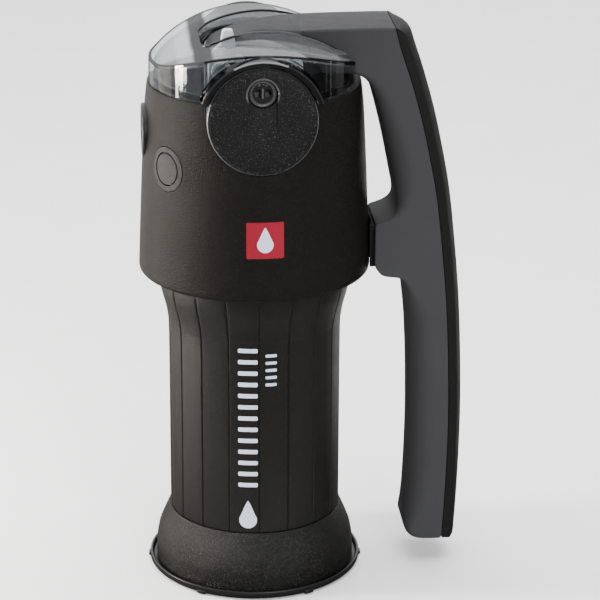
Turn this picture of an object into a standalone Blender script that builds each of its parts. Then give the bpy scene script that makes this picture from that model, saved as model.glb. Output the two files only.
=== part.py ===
"""Hand-pumped water filter: an upper pump housing with two cylinders, a rocking
side handle, a clear lift-off cover, a fluted filter housing with its cartridge
and a bottle adapter with a base cap.

Frame: origin on the body axis at floor level, +Z up, +X towards the handle,
-Y is the front. Lengths in the constants are millimetres; MM turns them into
Blender's metres.
"""

import math

import bmesh
import bpy
from mathutils import Vector

MM = 0.001
GAP = 0.3

# ---- driving dimensions (mm) -------------------------------------------------
# base cap and bottle adapter
CAP_R = 35.7
CAP_PLATE = 1.0
CAP_RIM_TOP = 2.7
SKIRT_BOTTOM = CAP_PLATE + 0.45
SKIRT_R = 33.4
SKIRT_TOP = 20.8
SOCKET_R = 31.7
SOCKET_TOP = 11.2
THREAD_CREST_R = 30.5
THREAD_PITCH = 4.0
SPIGOT_R = 27.3
ADAPTER_FLOOR = 14.6

# fluted filter housing
FLUTED_R = 28.6
FLUTED_BOTTOM = 21.1
FLUTES = 18
FLUTE_DEPTH = 0.4
NECK_R = 31.5
NECK_TOP = 112.0
FILTER_WALL = 2.0

# upper housing
UPPER_BOTTOM = 105.9
UPPER_TOP = 169.4
UPPER_WALL = 2.2
BULKHEAD_Z = 113.5

# pivot, discs and axle
PIVOT_Z = 174.35
DISC_Z = 165.3
DISC_R = 17.5
DISC_FACE = 37.0
DISC_BACK = 29.5
PORT_R = 4.7
AXLE_R = 2.6

# clear cover
COVER_BOTTOM = UPPER_TOP + GAP
COVER_R = 34.15
COVER_WALL = 1.8
SLOT_HALF = 13.1
SLOT_LEFT = -17.6
HOOD_OUT = 20.1
HOOD_IN = 18.0
HOOD_FACE = 38.5

# pump: two cylinders, rocker pins and pistons
CYL_X = 11.4
BORE_R = 10.0
BLOCK_Z0 = 118.3
BLOCK_Z1 = 147.0
PIN_R = 2.2
ROCKER_R = 11.2
ROCKER_DEG = 3.0
PIN_X = ROCKER_R * math.cos(math.radians(ROCKER_DEG))
PIN_RISE = ROCKER_R * math.sin(math.radians(ROCKER_DEG))
PIN_Z = {"left": PIVOT_Z + PIN_RISE, "right": PIVOT_Z - PIN_RISE}
SIDE = {"left": -1.0, "right": 1.0}
ROCKER_HALF = 7.9

# handle
SHOULDER_Z = 182.4
ARM_HALF = 11.4
PAD_R = 38.4

# ports on the upper housing
PLUG_DEG = -54.5
PLUG_Z = 146.0
INLET_Z = 153.0


# ---- scene and helpers -------------------------------------------------------
for old in list(bpy.data.objects):
    bpy.data.objects.remove(old, do_unlink=True)

PARTS = bpy.data.collections.new("pump_water_filter")
CUTTERS = bpy.data.collections.new("cutters")
bpy.context.scene.collection.children.link(PARTS)
bpy.context.scene.collection.children.link(CUTTERS)


def material(name, colour, roughness, metallic=0.0, transmission=0.0):
    mat = bpy.data.materials.new(name)
    mat.use_nodes = True
    shader = mat.node_tree.nodes["Principled BSDF"]
    shader.inputs["Base Color"].default_value = (*colour, 1.0)
    shader.inputs["Roughness"].default_value = roughness
    shader.inputs["Metallic"].default_value = metallic
    shader.inputs["Transmission Weight"].default_value = transmission
    mat.diffuse_color = (*colour, 1.0)
    return mat


def own(name, colour, roughness, metallic=0.0, transmission=0.0):
    """Each sub-part has a material of its own, named after it."""
    return material("mat_" + name, colour, roughness, metallic, transmission)


BLACK = (0.018, 0.017, 0.016)
SOFT_BLACK = (0.02, 0.02, 0.021)
GREY = (0.085, 0.085, 0.09)
WHITE = (0.78, 0.80, 0.80)
STEEL = (0.62, 0.62, 0.63)
SEAL = (0.03, 0.03, 0.03)


def add(name, mesh, mat=None, cutter=False):
    obj = bpy.data.objects.new(name, mesh)
    if cutter:
        CUTTERS.objects.link(obj)
        obj.hide_render = True
        obj.display_type = "WIRE"
    else:
        PARTS.objects.link(obj)
        if mat:
            mesh.materials.append(mat)
    return obj


def aim(obj, axis):
    obj.rotation_mode = "QUATERNION"
    obj.rotation_quaternion = Vector((0, 0, 1)).rotation_difference(Vector(axis))


def smooth(mesh, angle=35.0):
    mesh.shade_smooth()
    mesh.set_sharp_from_angle(angle=math.radians(angle))


def turned(name, profile, mat=None, steps=48, loc=(0, 0, 0), axis=None, cutter=False):
    """A profile of (radius, height) points turned about its own Z axis."""
    pts = list(profile)
    around = zip(pts, pts[1:] + pts[:1])
    if sum(a[0] * b[1] - b[0] * a[1] for a, b in around) > 0:
        pts.reverse()
    closed = True
    for i, point in enumerate(pts):
        if point[0] == 0 and pts[i - 1][0] == 0:
            pts = pts[i:] + pts[:i]
            closed = False
            break
    n = len(pts)
    edges = [(i, i + 1) for i in range(n - 1)] + ([(n - 1, 0)] if closed else [])
    mesh = bpy.data.meshes.new(name)
    mesh.from_pydata([(r * MM, 0, z * MM) for r, z in pts], edges, [])
    obj = add(name, mesh, mat, cutter)
    screw = obj.modifiers.new("Turn", "SCREW")
    screw.axis = "Z"
    screw.angle = 2 * math.pi
    screw.steps = screw.render_steps = steps
    screw.use_merge_vertices = True
    screw.merge_threshold = 0.00001
    screw.use_smooth_shade = True
    obj.location = [c * MM for c in loc]
    if axis:
        aim(obj, axis)
    return obj


def cylinder(name, radius, start, end, axis, loc, mat=None, segments=32, cutter=False, radius2=None):
    """A cylinder (or cone) from start to end along axis, measured from loc."""
    bm = bmesh.new()
    bmesh.ops.create_cone(
        bm, cap_ends=True, segments=segments, radius1=radius * MM,
        radius2=(radius if radius2 is None else radius2) * MM, depth=(end - start) * MM,
    )
    bmesh.ops.translate(bm, verts=bm.verts, vec=(0, 0, (start + end) / 2 * MM))
    mesh = bpy.data.meshes.new(name)
    bm.to_mesh(mesh)
    bm.free()
    smooth(mesh)
    obj = add(name, mesh, mat, cutter)
    obj.location = [c * MM for c in loc]
    aim(obj, axis)
    return obj


def box(name, low, high, mat=None, cutter=False, round_=0.0, segments=2):
    bm = bmesh.new()
    bmesh.ops.create_cube(bm, size=1.0)
    for vert in bm.verts:
        vert.co = [(a + b) / 2 * MM + c * (b - a) * MM for a, b, c in zip(low, high, vert.co)]
    mesh = bpy.data.meshes.new(name)
    bm.to_mesh(mesh)
    bm.free()
    obj = add(name, mesh, mat, cutter)
    if round_:
        edge = obj.modifiers.new("Edge", "BEVEL")
        edge.width = round_ * MM
        edge.segments = segments
    return obj


def outline(name, loops, half, mat=None, plane="XZ", mid=0.0, cutter=False):
    """A flat outline, with any holes, given a thickness of 2 x half about mid."""
    curve = bpy.data.curves.new(name + "_outline", "CURVE")
    curve.dimensions = "2D"
    curve.fill_mode = "BOTH"
    curve.extrude = half * MM
    for loop in loops:
        spline = curve.splines.new("POLY")
        spline.points.add(len(loop) - 1)
        for point, (u, v) in zip(spline.points, loop):
            point.co = (u * MM, v * MM, 0, 1)
        spline.use_cyclic_u = True
    temp = bpy.data.objects.new(name + "_outline", curve)
    CUTTERS.objects.link(temp)
    bpy.context.view_layer.update()
    graph = bpy.context.evaluated_depsgraph_get()
    mesh = bpy.data.meshes.new_from_object(temp.evaluated_get(graph))
    bpy.data.objects.remove(temp)
    bpy.data.curves.remove(curve)
    bm = bmesh.new()
    bm.from_mesh(mesh)
    bmesh.ops.remove_doubles(bm, verts=bm.verts, dist=0.000005)
    bmesh.ops.recalc_face_normals(bm, faces=bm.faces)
    if bm.calc_volume(signed=True) < 0:
        bmesh.ops.reverse_faces(bm, faces=bm.faces)
    bm.to_mesh(mesh)
    bm.free()
    mesh.name = name
    mesh.materials.clear()
    smooth(mesh, 30)
    obj = add(name, mesh, mat, cutter)
    if plane == "XZ":
        obj.rotation_euler = (math.pi / 2, 0, 0)
        obj.location = (0, mid * MM, 0)
    else:
        obj.location = (0, 0, mid * MM)
    return obj


def loft(name, rings, mat=None, cutter=False, angle=35.0):
    """A closed skin through rings of equal point counts, capped at both ends."""
    bm = bmesh.new()
    rows = [[bm.verts.new([c * MM for c in p]) for p in ring] for ring in rings]
    n = len(rows[0])
    for a, b in zip(rows, rows[1:]):
        for i in range(n):
            j = (i + 1) % n
            bm.faces.new((a[i], a[j], b[j], b[i]))
    caps = [bm.faces.new(rows[0]), bm.faces.new(rows[-1])]
    bmesh.ops.poke(bm, faces=caps)
    bmesh.ops.recalc_face_normals(bm, faces=bm.faces)
    if bm.calc_volume(signed=True) < 0:
        bmesh.ops.reverse_faces(bm, faces=bm.faces)
    mesh = bpy.data.meshes.new(name)
    bm.to_mesh(mesh)
    bm.free()
    smooth(mesh, angle)
    return add(name, mesh, mat, cutter)


def combine(obj, other, operation="DIFFERENCE", solver="EXACT"):
    mod = obj.modifiers.new(operation.title() + "_" + other.name, "BOOLEAN")
    mod.operation = operation
    mod.object = other
    mod.solver = solver
    return obj


def through(values, count):
    """Catmull-Rom samples through the given points, ends included."""
    pts = [Vector(v) for v in values]
    pts = [2 * pts[0] - pts[1]] + pts + [2 * pts[-1] - pts[-2]]
    spans = len(pts) - 3
    found = []
    for k in range(count):
        s = k / (count - 1) * spans
        i = min(int(s), spans - 1)
        t = s - i
        a, b, c, d = pts[i : i + 4]
        found.append(
            0.5 * (2 * b + (c - a) * t + (2 * a - 5 * b + 4 * c - d) * t**2 + (3 * b - a - 3 * c + d) * t**3)
        )
    return found


def arc(cx, cy, r, a0, a1, n):
    return [
        (cx + r * math.cos(math.radians(a0 + (a1 - a0) * i / n)), cy + r * math.sin(math.radians(a0 + (a1 - a0) * i / n)))
        for i in range(n + 1)
    ]


# ---- base cap ----------------------------------------------------------------
base_cap = turned(
    "base_cap",
    [
        (0, 0), (CAP_R - 1.0, 0), (CAP_R, 0.9), (CAP_R, CAP_RIM_TOP), (CAP_R - 0.9, CAP_RIM_TOP), (CAP_R - 1.1, CAP_PLATE),
        (THREAD_CREST_R - 1.2, CAP_PLATE), (THREAD_CREST_R - 1.3, 4.6), (THREAD_CREST_R - 2.4, 4.6),
        (THREAD_CREST_R - 2.5, CAP_PLATE), (0, CAP_PLATE),
    ],
    own("base_cap", BLACK, 0.5),
    steps=36,
)
for k in range(6):
    a = math.radians(56 + 60 * k)
    nub = box(f"cap_nub_{k}", (-0.6, -1.6, 0.25), (0.6, 1.6, 1.4), cutter=True)
    nub.location = (CAP_R * math.cos(a) * MM, CAP_R * math.sin(a) * MM, 0)
    nub.rotation_euler = (0, 0, a)
    combine(base_cap, nub, "UNION")

# ---- bottle adapter ----------------------------------------------------------
bottle_adapter = turned(
    "bottle_adapter",
    [
        (SKIRT_R, SKIRT_BOTTOM), (33.3, 7.9), (32.46, 12.4), (31.65, 14.6), (30.72, 16.8), (29.0, SKIRT_TOP),
        (SPIGOT_R + GAP, SKIRT_TOP),
        (SPIGOT_R + GAP, ADAPTER_FLOOR), (3.0, ADAPTER_FLOOR), (3.0, ADAPTER_FLOOR - 2.4), (24.0, ADAPTER_FLOOR - 2.4),
        (24.0, SOCKET_TOP), (SOCKET_R, SOCKET_TOP), (SOCKET_R, SKIRT_BOTTOM),
    ],
    own("bottle_adapter", BLACK, 0.45),
    steps=36,
)
THREAD_TURNS = 1.4
THREAD_STEPS = 16
thread_rings = []
for k in range(int(THREAD_TURNS * THREAD_STEPS) + 1):
    a = 2 * math.pi * (k + 0.4) / THREAD_STEPS
    z = 3.3 + THREAD_PITCH * k / THREAD_STEPS
    fade = min(1.0, k / 3, (THREAD_TURNS * THREAD_STEPS - k) / 3) * (SOCKET_R - THREAD_CREST_R)
    inner = SOCKET_R - max(0.15, fade)
    thread_rings.append(
        [(r * math.cos(a), r * math.sin(a), z + dz) for r, dz in ((SOCKET_R + 0.5, -0.9), (SOCKET_R + 0.5, 0.9), (inner, 0.35), (inner, -0.35))]
    )
thread = loft("bottle_thread", thread_rings, cutter=True)
combine(bottle_adapter, thread, "UNION")

turned(
    "adapter_gasket",
    [
        (24.6, SOCKET_TOP - 1.3), (THREAD_CREST_R - 0.3, SOCKET_TOP - 1.3), (THREAD_CREST_R - 0.3, SOCKET_TOP - GAP),
        (24.6, SOCKET_TOP - GAP),
    ],
    own("adapter_gasket", SEAL, 0.7),
    steps=20,
)
turned(
    "outlet_nozzle",
    [
        (1.6, 3.4), (2.4, 3.4), (3.2, 5.2), (2.6, 5.2), (3.2, 7.0), (2.6, 7.0), (2.6, 9.9), (7.0, 9.9), (7.0, 11.8),
        (2.6, 11.8), (2.6, ADAPTER_FLOOR - 0.4), (1.6, ADAPTER_FLOOR - 0.4),
    ],
    own("outlet_nozzle", BLACK, 0.4),
    steps=12,
)

# ---- fluted filter housing ---------------------------------------------------
# Outer wall by height: (height, radius, flute depth).
WALL_ROWS = [
    (FLUTED_BOTTOM, FLUTED_R, 1.0), (80.0, FLUTED_R, 1.0), (87.0, FLUTED_R + 0.15, 1.0), (91.2, FLUTED_R + 0.6, 1.0),
    (94.5, FLUTED_R + 1.4, 1.0), (97.5, FLUTED_R + 2.3, 0.8),
]


def fluted_ring(radius, height, depth):
    pts = []
    for k in range(FLUTES):
        for off, cut in ((-0.75, 0.0), (0.0, 1.0), (0.6, 0.0)):
            a = math.radians(360 / FLUTES * k - 90 - 1.3 + off)
            r = radius - cut * depth * FLUTE_DEPTH
            pts.append((r * math.cos(a), r * math.sin(a), height))
    return pts


rings = [fluted_ring(SPIGOT_R, 15.0, 0), fluted_ring(SPIGOT_R, FLUTED_BOTTOM, 0)]
rings += [fluted_ring(r, z, d) for z, r, d in WALL_ROWS]
rings += [fluted_ring(NECK_R, 101.5, 0), fluted_ring(NECK_R, NECK_TOP, 0)]
rings += [fluted_ring(NECK_R - 2.1, NECK_TOP, 0), fluted_ring(NECK_R - 2.1, 100.5, 0)]
rings += [fluted_ring(FLUTED_R - FILTER_WALL, 92.0, 0), fluted_ring(FLUTED_R - FILTER_WALL - 0.2, 17.5, 0)]
filter_housing = loft("filter_housing", rings, own("filter_housing", SOFT_BLACK, 0.42))
combine(filter_housing, cylinder("outlet_hole", 4.6, 10, 25, (0, 0, 1), (0, 0, 0), cutter=True))

turned(
    "housing_oring",
    [(NECK_R - 1.8, NECK_TOP + 0.2), (NECK_R - 0.3, NECK_TOP + 0.2), (NECK_R - 0.3, BULKHEAD_Z - 0.2), (NECK_R - 1.8, BULKHEAD_Z - 0.2)],
    own("housing_oring", SEAL, 0.6),
    steps=24,
)

# ---- filter cartridge --------------------------------------------------------
PLEATS = 20
turned(
    "cartridge_bottom_cap",
    [(2.0, 15.3), (3.8, 15.3), (3.8, 20.2), (25.4, 20.2), (25.4, 25.5), (24.6, 25.5), (24.6, 22.2), (2.0, 22.2)],
    own("cartridge_bottom_cap", WHITE, 0.4),
    steps=20,
)
turned(
    "cartridge_oring",
    [(4.1, 18.0), (6.6, 18.0), (7.0, 18.9), (6.6, 19.8), (4.1, 19.8)],
    own("cartridge_oring", SEAL, 0.6),
    steps=12,
)
pleat = []
for k in range(PLEATS):
    for off, r in ((-0.18, 24.0), (0.18, 24.0), (0.38, 17.4), (0.62, 17.4)):
        a = 2 * math.pi * (k + off) / PLEATS
        pleat.append((r * math.cos(a), r * math.sin(a)))
outline(
    "pleated_filter", [pleat, arc(0, 0, 14.6, 0, 340, 17)], 32.3, own("pleated_filter", (0.72, 0.72, 0.68), 0.9),
    plane="XY", mid=22.5 + 32.3,
)
turned(
    "carbon_core",
    [(4.0, 22.6), (14.2, 22.6), (14.2, 87.1), (4.0, 87.1)],
    own("carbon_core", (0.03, 0.03, 0.03), 0.9),
    steps=16,
)
turned(
    "cartridge_top_cap",
    [(0, 87.5), (24.6, 87.5), (24.6, 84.2), (25.4, 84.2), (25.4, 89.2), (9.0, 89.2), (9.0, 91.6), (7.4, 91.6), (7.4, 89.2), (0, 89.2)],
    own("cartridge_top_cap", WHITE, 0.4),
    steps=20,
)
turned(
    "prefilter_carrier",
    [(10.0, 92.0), (25.2, 92.0), (28.6, 99.6), (28.6, 102.0), (27.4, 102.0), (27.4, 99.9), (24.2, 93.4), (10.0, 93.4)],
    own("prefilter_carrier", GREY, 0.45),
    steps=20,
)
turned(
    "ceramic_disc",
    [(6.0, 93.8), (22.8, 93.8), (23.6, 94.8), (25.2, 98.2), (25.2, 99.4), (6.0, 99.4)],
    own("ceramic_disc", (0.86, 0.84, 0.80), 0.8),
    steps=20,
)

# ---- upper housing -----------------------------------------------------------
OUTER = [
    (37.3, UPPER_BOTTOM), (38.0, UPPER_BOTTOM + 1.0), (37.43, 123.0), (36.4, 145.6), (35.81, 156.4), (34.6, UPPER_TOP),
]
INNER_TOP_R = OUTER[-1][0] - UPPER_WALL
upper_housing = turned(
    "upper_housing",
    OUTER
    + [
        (INNER_TOP_R, UPPER_TOP), (36.4 - UPPER_WALL, 145.6), (37.43 - UPPER_WALL, 123.0), (37.6 - UPPER_WALL, BULKHEAD_Z + 2.0),
        (16.5, BULKHEAD_Z + 2.0), (16.5, BULKHEAD_Z), (NECK_R + 0.4, BULKHEAD_Z), (NECK_R + 0.4, 106.6),
        (NECK_R + 2.4, 106.6), (NECK_R + 2.4, BULKHEAD_Z), (38.0 - UPPER_WALL, BULKHEAD_Z), (38.0 - UPPER_WALL, UPPER_BOTTOM),
    ],
    own("upper_housing", BLACK, 0.55),
    steps=36,
)
outer_solid = turned("upper_outer_solid", [(0, UPPER_BOTTOM)] + OUTER + [(0, UPPER_TOP)], steps=36, cutter=True)
for side, sign in (("front", -1), ("rear", 1)):
    seat = cylinder("disc_seat_" + side, DISC_R + 1.9, 27.0, 36.2, (0, sign, 0), (0, 0, DISC_Z), segments=28, cutter=True)
    combine(seat, outer_solid, "INTERSECT")
    combine(upper_housing, seat, "UNION")
for side, sign in (("front", -1), ("rear", 1)):
    recess = cylinder("disc_recess_" + side, DISC_R + 0.3, DISC_BACK - 0.3, 45, (0, sign, 0), (0, 0, DISC_Z), segments=40, cutter=True)
    combine(upper_housing, recess)
PLUG_DIR = (math.sin(math.radians(PLUG_DEG)), -math.cos(math.radians(PLUG_DEG)), 0.045)
combine(upper_housing, cylinder("plug_hole", 7.55, 29, 42, PLUG_DIR, (0, 0, PLUG_Z - 1.6), cutter=True))
combine(upper_housing, cylinder("inlet_hole", 9.05, 29, 42, (-1, 0, 0), (0, 0, INLET_Z), cutter=True))
for k, (sx, sy) in enumerate(((-1, -1), (1, -1), (-1, 1), (1, 1))):
    combine(upper_housing, cylinder(f"bulkhead_screw_hole_{k}", 1.6, 110, 120, (0, 0, 1), (24 * sx, 9 * sy, 0), segments=10, cutter=True))

# ---- valve access plug and inlet port ----------------------------------------
valve_plug = turned(
    "valve_plug",
    [
        (0, 30.0), (4.6, 30.0), (4.6, 33.4), (7.25, 33.4), (7.25, 40.0), (5.55, 40.0), (5.55, 35.75), (5.15, 35.75),
        (5.15, 40.0), (0, 40.0),
    ],
    own("valve_plug", BLACK, 0.5),
    steps=16,
    loc=(0, 0, PLUG_Z - 1.6),
    axis=PLUG_DIR,
)
plug_skin = turned("plug_outer_solid", [(0, UPPER_BOTTOM)] + OUTER + [(0, UPPER_TOP)], steps=36, cutter=True)
combine(valve_plug, plug_skin, "INTERSECT")
turned(
    "inlet_port",
    [
        (1.3, 24.0), (4.2, 24.0), (4.2, 26.0), (8.75, 26.0), (8.75, 36.3), (8.4, 36.6), (6.3, 36.6), (6.0, 36.3), (6.0, 28.0),
        (2.2, 28.0), (2.2, 31.2), (2.9, 31.2), (2.2, 33.0), (2.9, 33.0), (2.0, 35.2), (1.3, 35.2),
    ],
    own("inlet_port", BLACK, 0.45),
    steps=14,
    loc=(0, 0, INLET_Z),
    axis=(-1, 0, 0),
)

# ---- pump block with cylinders and bearing towers ----------------------------
half_len = CYL_X + BORE_R + 1.9
pump_block = outline(
    "pump_block",
    [arc(CYL_X, 0, BORE_R + 1.9, -90, 90, 12) + arc(-CYL_X, 0, BORE_R + 1.9, 90, 270, 12)],
    (BLOCK_Z1 - BLOCK_Z0) / 2,
    own("pump_block", (0.55, 0.57, 0.58), 0.4),
    plane="XY",
    mid=(BLOCK_Z0 + BLOCK_Z1) / 2,
)
flange = box("block_flange", (-27.5, -12.5, BLOCK_Z0), (27.5, 12.5, BLOCK_Z0 + 2.6), cutter=True)
combine(pump_block, flange, "UNION", solver="MANIFOLD")
for side, sign in (("front", -1), ("rear", 1)):
    y0, y1 = sorted((sign * 15.0, sign * 18.5))
    tower = outline(
        "tower_" + side,
        [[(-6.5, BLOCK_Z0), (6.5, BLOCK_Z0)] + arc(0, PIVOT_Z, 6.5, 0, 180, 12)],
        1.75,
        mid=sign * 16.75,
        cutter=True,
    )
    combine(pump_block, tower, "UNION", solver="MANIFOLD")
    web0, web1 = sorted((sign * 9.0, sign * 16.0))
    combine(pump_block, box("tower_web_" + side, (-1.6, web0, BLOCK_Z0), (1.6, web1, BLOCK_Z1 - 0.6), cutter=True), "UNION", solver="MANIFOLD")
for name, sx in SIDE.items():
    combine(pump_block, cylinder("bore_" + name, BORE_R, 119.8, 160, (0, 0, 1), (sx * CYL_X, 0, 0), segments=24, cutter=True), solver="MANIFOLD")
    for kind, sy in (("in", -1), ("out", 1)):
        combine(pump_block, cylinder(f"port_{kind}_{name}", 1.5, 110, 125, (0, 0, 1), (sx * CYL_X, 4.6 * sy, 0), segments=10, cutter=True), solver="MANIFOLD")
combine(pump_block, cylinder("axle_bore", AXLE_R + 0.3, -30, 30, (0, 1, 0), (0, 0, PIVOT_Z), segments=24, cutter=True), solver="MANIFOLD")
SCREWS = {"front_left": (-1, -1), "front_right": (1, -1), "rear_left": (-1, 1), "rear_right": (1, 1)}
for name, (sx, sy) in SCREWS.items():
    combine(pump_block, cylinder("block_hole_" + name, 1.6, 110, 125, (0, 0, 1), (24 * sx, 9 * sy, 0), segments=10, cutter=True), solver="MANIFOLD")
    turned(
        "block_screw_" + name,
        [(0, 110.5), (1.3, 110.5), (1.3, 121.2), (2.6, 121.2), (2.6, 122.6), (1.9, 123.2), (0, 123.2)],
        own("block_screw_" + name, STEEL, 0.35, 1.0),
        steps=10,
        loc=(24 * sx, 9 * sy, 0),
    )

valve_plate = outline(
    "valve_plate",
    [arc(CYL_X, 0, 11.0, -90, 90, 10) + arc(-CYL_X, 0, 11.0, 90, 270, 10)],
    0.95,
    own("valve_plate", WHITE, 0.4),
    plane="XY",
    mid=116.75,
)
for name, sx in SIDE.items():
    for kind, sy in (("inlet", -1), ("outlet", 1)):
        combine(valve_plate, cylinder(f"seat_{kind}_{name}", 1.7, 110, 120, (0, 0, 1), (sx * CYL_X, 4.6 * sy, 0), segments=10, cutter=True))
        turned(
            f"{kind}_valve_{name}",
            [(0, 113.0), (2.0, 113.0), (2.0, 113.9), (1.2, 114.4), (1.2, 117.9), (0, 117.9)]
            if kind == "inlet"
            else [(0, 111.8), (1.4, 111.8), (3.4, 114.2), (3.4, 115.2), (1.2, 115.5), (1.2, 117.9), (0, 117.9)],
            own(f"{kind}_valve_{name}", (0.45, 0.08, 0.05), 0.6),
            steps=12,
            loc=(sx * CYL_X, 4.6 * sy, 0),
        )

turned(
    "pivot_axle",
    [(0, -30.5), (AXLE_R - 0.3, -30.5), (AXLE_R, -30.2), (AXLE_R, 30.2), (AXLE_R - 0.3, 30.5), (0, 30.5)],
    own("pivot_axle", STEEL, 0.25, 1.0),
    steps=16,
    loc=(0, 0, PIVOT_Z),
    axis=(0, 1, 0),
)
for side, sign in (("front", -1), ("rear", 1)):
    snap = turned(
        "axle_snap_" + side,
        [
            (AXLE_R + 0.3, 18.9), (5.4, 18.9), (5.4, 21.2), (4.2, 21.2), (4.2, 35.9), (3.7, 36.4), (1.3, 36.4), (1.3, 31.0),
            (AXLE_R + 0.3, 31.0),
        ],
        own("axle_snap_" + side, BLACK, 0.3),
        steps=16,
        loc=(0, 0, PIVOT_Z),
        axis=(0, sign, 0),
    )
    y0, y1 = sorted((sign * 31.6, sign * 40.0))
    combine(snap, box("snap_split_" + side, (-0.55, y0, PIVOT_Z - 6), (0.55, y1, PIVOT_Z + 6), cutter=True))
    disc = turned(
        "pivot_disc_" + side,
        [
            (0, DISC_BACK), (DISC_R, DISC_BACK), (DISC_R, DISC_FACE - 0.6), (DISC_R - 0.6, DISC_FACE),
            (0, DISC_FACE),
        ],
        own("pivot_disc_" + side, BLACK, 0.4),
        steps=40,
        loc=(0, 0, DISC_Z),
        axis=(0, sign, 0),
    )
    combine(disc, cylinder("axle_port_" + side, PORT_R, 25, 45, (0, sign, 0), (0, 0, PIVOT_Z), segments=24, cutter=True))
    ramp = loft(
        "port_ramp_" + side,
        [
            [(-x, sign * (DISC_FACE + 1), z), (x, sign * (DISC_FACE + 1), z), (x, sign * (DISC_FACE - d), z), (-x, sign * (DISC_FACE - d), z)]
            for x, z, d in ((PORT_R - 0.15, PIVOT_Z, 1.3), (PORT_R - 0.15, PIVOT_Z - 15.5, 0.02))
        ],
        cutter=True,
    )
    combine(disc, ramp)

# ---- clear cover -------------------------------------------------------------
def roof(x, drop=0.0):
    return max(177.3, 185.9 - 10.0 * (x / 34.0) ** 2) - drop


def rim(x):
    return 188.6 - 0.0126 * (x - 3.0) ** 2


def arched(name, height, floor):
    xs = [-40 + 80 * i / 18 for i in range(19)]
    return outline(name, [[(x, height(x)) for x in xs] + [(40, floor), (-40, floor)]], 45, cutter=True)


clear_cover = turned(
    "clear_cover",
    [(0, COVER_BOTTOM), (COVER_R, COVER_BOTTOM), (COVER_R - 0.45, 192), (0, 192)],
    own("clear_cover", (0.85, 0.88, 0.9), 0.05, 0.0, 1.0),
    steps=40,
)
combine(clear_cover, arched("cover_roof", roof, 160), "INTERSECT", solver="MANIFOLD")
cavity = turned(
    "cover_cavity",
    [(0, COVER_BOTTOM - 1), (COVER_R - COVER_WALL, COVER_BOTTOM - 1), (COVER_R - COVER_WALL - 0.45, 192), (0, 192)],
    steps=40,
    cutter=True,
)
combine(cavity, arched("cover_ceiling", lambda x: roof(x, COVER_WALL), 160), "INTERSECT")
combine(clear_cover, cavity, solver="MANIFOLD")


def slot_plan(grow, right):
    r = 6.0 + grow
    h = SLOT_HALF + grow
    return (
        [(right, -h), (right, h)]
        + arc(SLOT_LEFT - grow + r, h - r, r, 90, 180, 6)
        + arc(SLOT_LEFT - grow + r, -(h - r), r, 180, 270, 6)
    )


collar = outline("slot_collar", [slot_plan(1.2, 40)], 8.0, plane="XY", mid=188.5, cutter=True)
combine(collar, arched("collar_top", rim, 160), "INTERSECT")
combine(collar, turned("collar_outside", [(0, 165), (COVER_R - 1.0, 165), (COVER_R - 1.0, 195), (0, 195)], steps=40, cutter=True), "INTERSECT")
combine(clear_cover, collar, "UNION", solver="MANIFOLD")
lip = turned(
    "cover_lip", [(30.9, 166.4), (INNER_TOP_R - 0.4, 166.4), (INNER_TOP_R - 0.4, 169.9), (33.0, 169.9), (33.0, 171.4), (30.9, 171.4)],
    steps=40, cutter=True,
)
combine(clear_cover, lip, "UNION", solver="MANIFOLD")
combine(clear_cover, outline("slot_cut", [slot_plan(0.0, 60)], 25, plane="XY", mid=185, cutter=True), solver="MANIFOLD")
for side, sign in (("front", -1), ("rear", 1)):
    hood = turned(
        "hood_" + side, [(HOOD_IN - 1.5, 26.6), (HOOD_OUT, 26.6), (HOOD_OUT, HOOD_FACE), (HOOD_IN - 1.5, HOOD_FACE)],
        steps=36, loc=(0, 0, DISC_Z), axis=(0, sign, 0), cutter=True,
    )
    combine(hood, box("hood_foot_" + side, (-30, -50, 120), (30, 50, 171.4), cutter=True))
    combine(clear_cover, hood, "UNION", solver="MANIFOLD")
    mouth = cylinder("disc_mouth_" + side, HOOD_IN, 26.0, 45, (0, sign, 0), (0, 0, DISC_Z), segments=36, cutter=True)
    combine(clear_cover, mouth, solver="MANIFOLD")

# ---- handle ------------------------------------------------------------------
# Stations along the handle: outer edge (x, z), inner edge (x, z), inner corner
# depth and inner corner half-width share (small on the boxy arm, large where the
# palm closes round the grip).
STATIONS = [
    ((14.0, 187.8), (20.5, 173.6), 1.2, 0.12), ((22.0, 188.0), (25.5, 173.3), 1.4, 0.14), ((34.0, 188.0), (32.0, 173.1), 1.8, 0.2),
    ((41.0, 188.0), (35.6, 171.6), 2.6, 0.3), ((44.1, 187.4), (36.9, 169.2), 3.4, 0.4), ((46.0, 181.3), (37.9, 165.6), 4.5, 0.5),
    ((49.4, 171.3), (39.2, 160.6), 6.0, 0.66), ((53.3, 157.6), (41.2, 152.6), 7.4, 0.8), ((56.4, 143.6), (43.6, 140.8), 8.2, 0.9),
    ((58.9, 130.1), (45.8, 128.6), 8.6, 0.94), ((61.2, 110.5), (48.0, 109.5), 8.8, 0.95), ((62.8, 93.0), (49.8, 92.5), 8.8, 0.95),
    ((63.8, 74.0), (50.8, 74.0), 8.8, 0.95), ((64.3, 54.0), (51.3, 54.0), 8.8, 0.95), ((64.1, 37.0), (51.2, 37.0), 8.6, 0.95),
    ((63.6, 22.0), (50.6, 22.0), 8.4, 0.94), ((63.2, 14.5), (50.3, 14.5), 8.2, 0.92),
]


def handle_sections(count):
    outer = through([(*s[0], 0) for s in STATIONS], count)
    inner = through([(*s[1], 0) for s in STATIONS], count)
    shape = through([(s[2], s[3], 0) for s in STATIONS], count)
    return [(Vector(o[:2]), Vector(i[:2]), s[0], s[1]) for o, i, s in zip(outer, inner, shape)]


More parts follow.
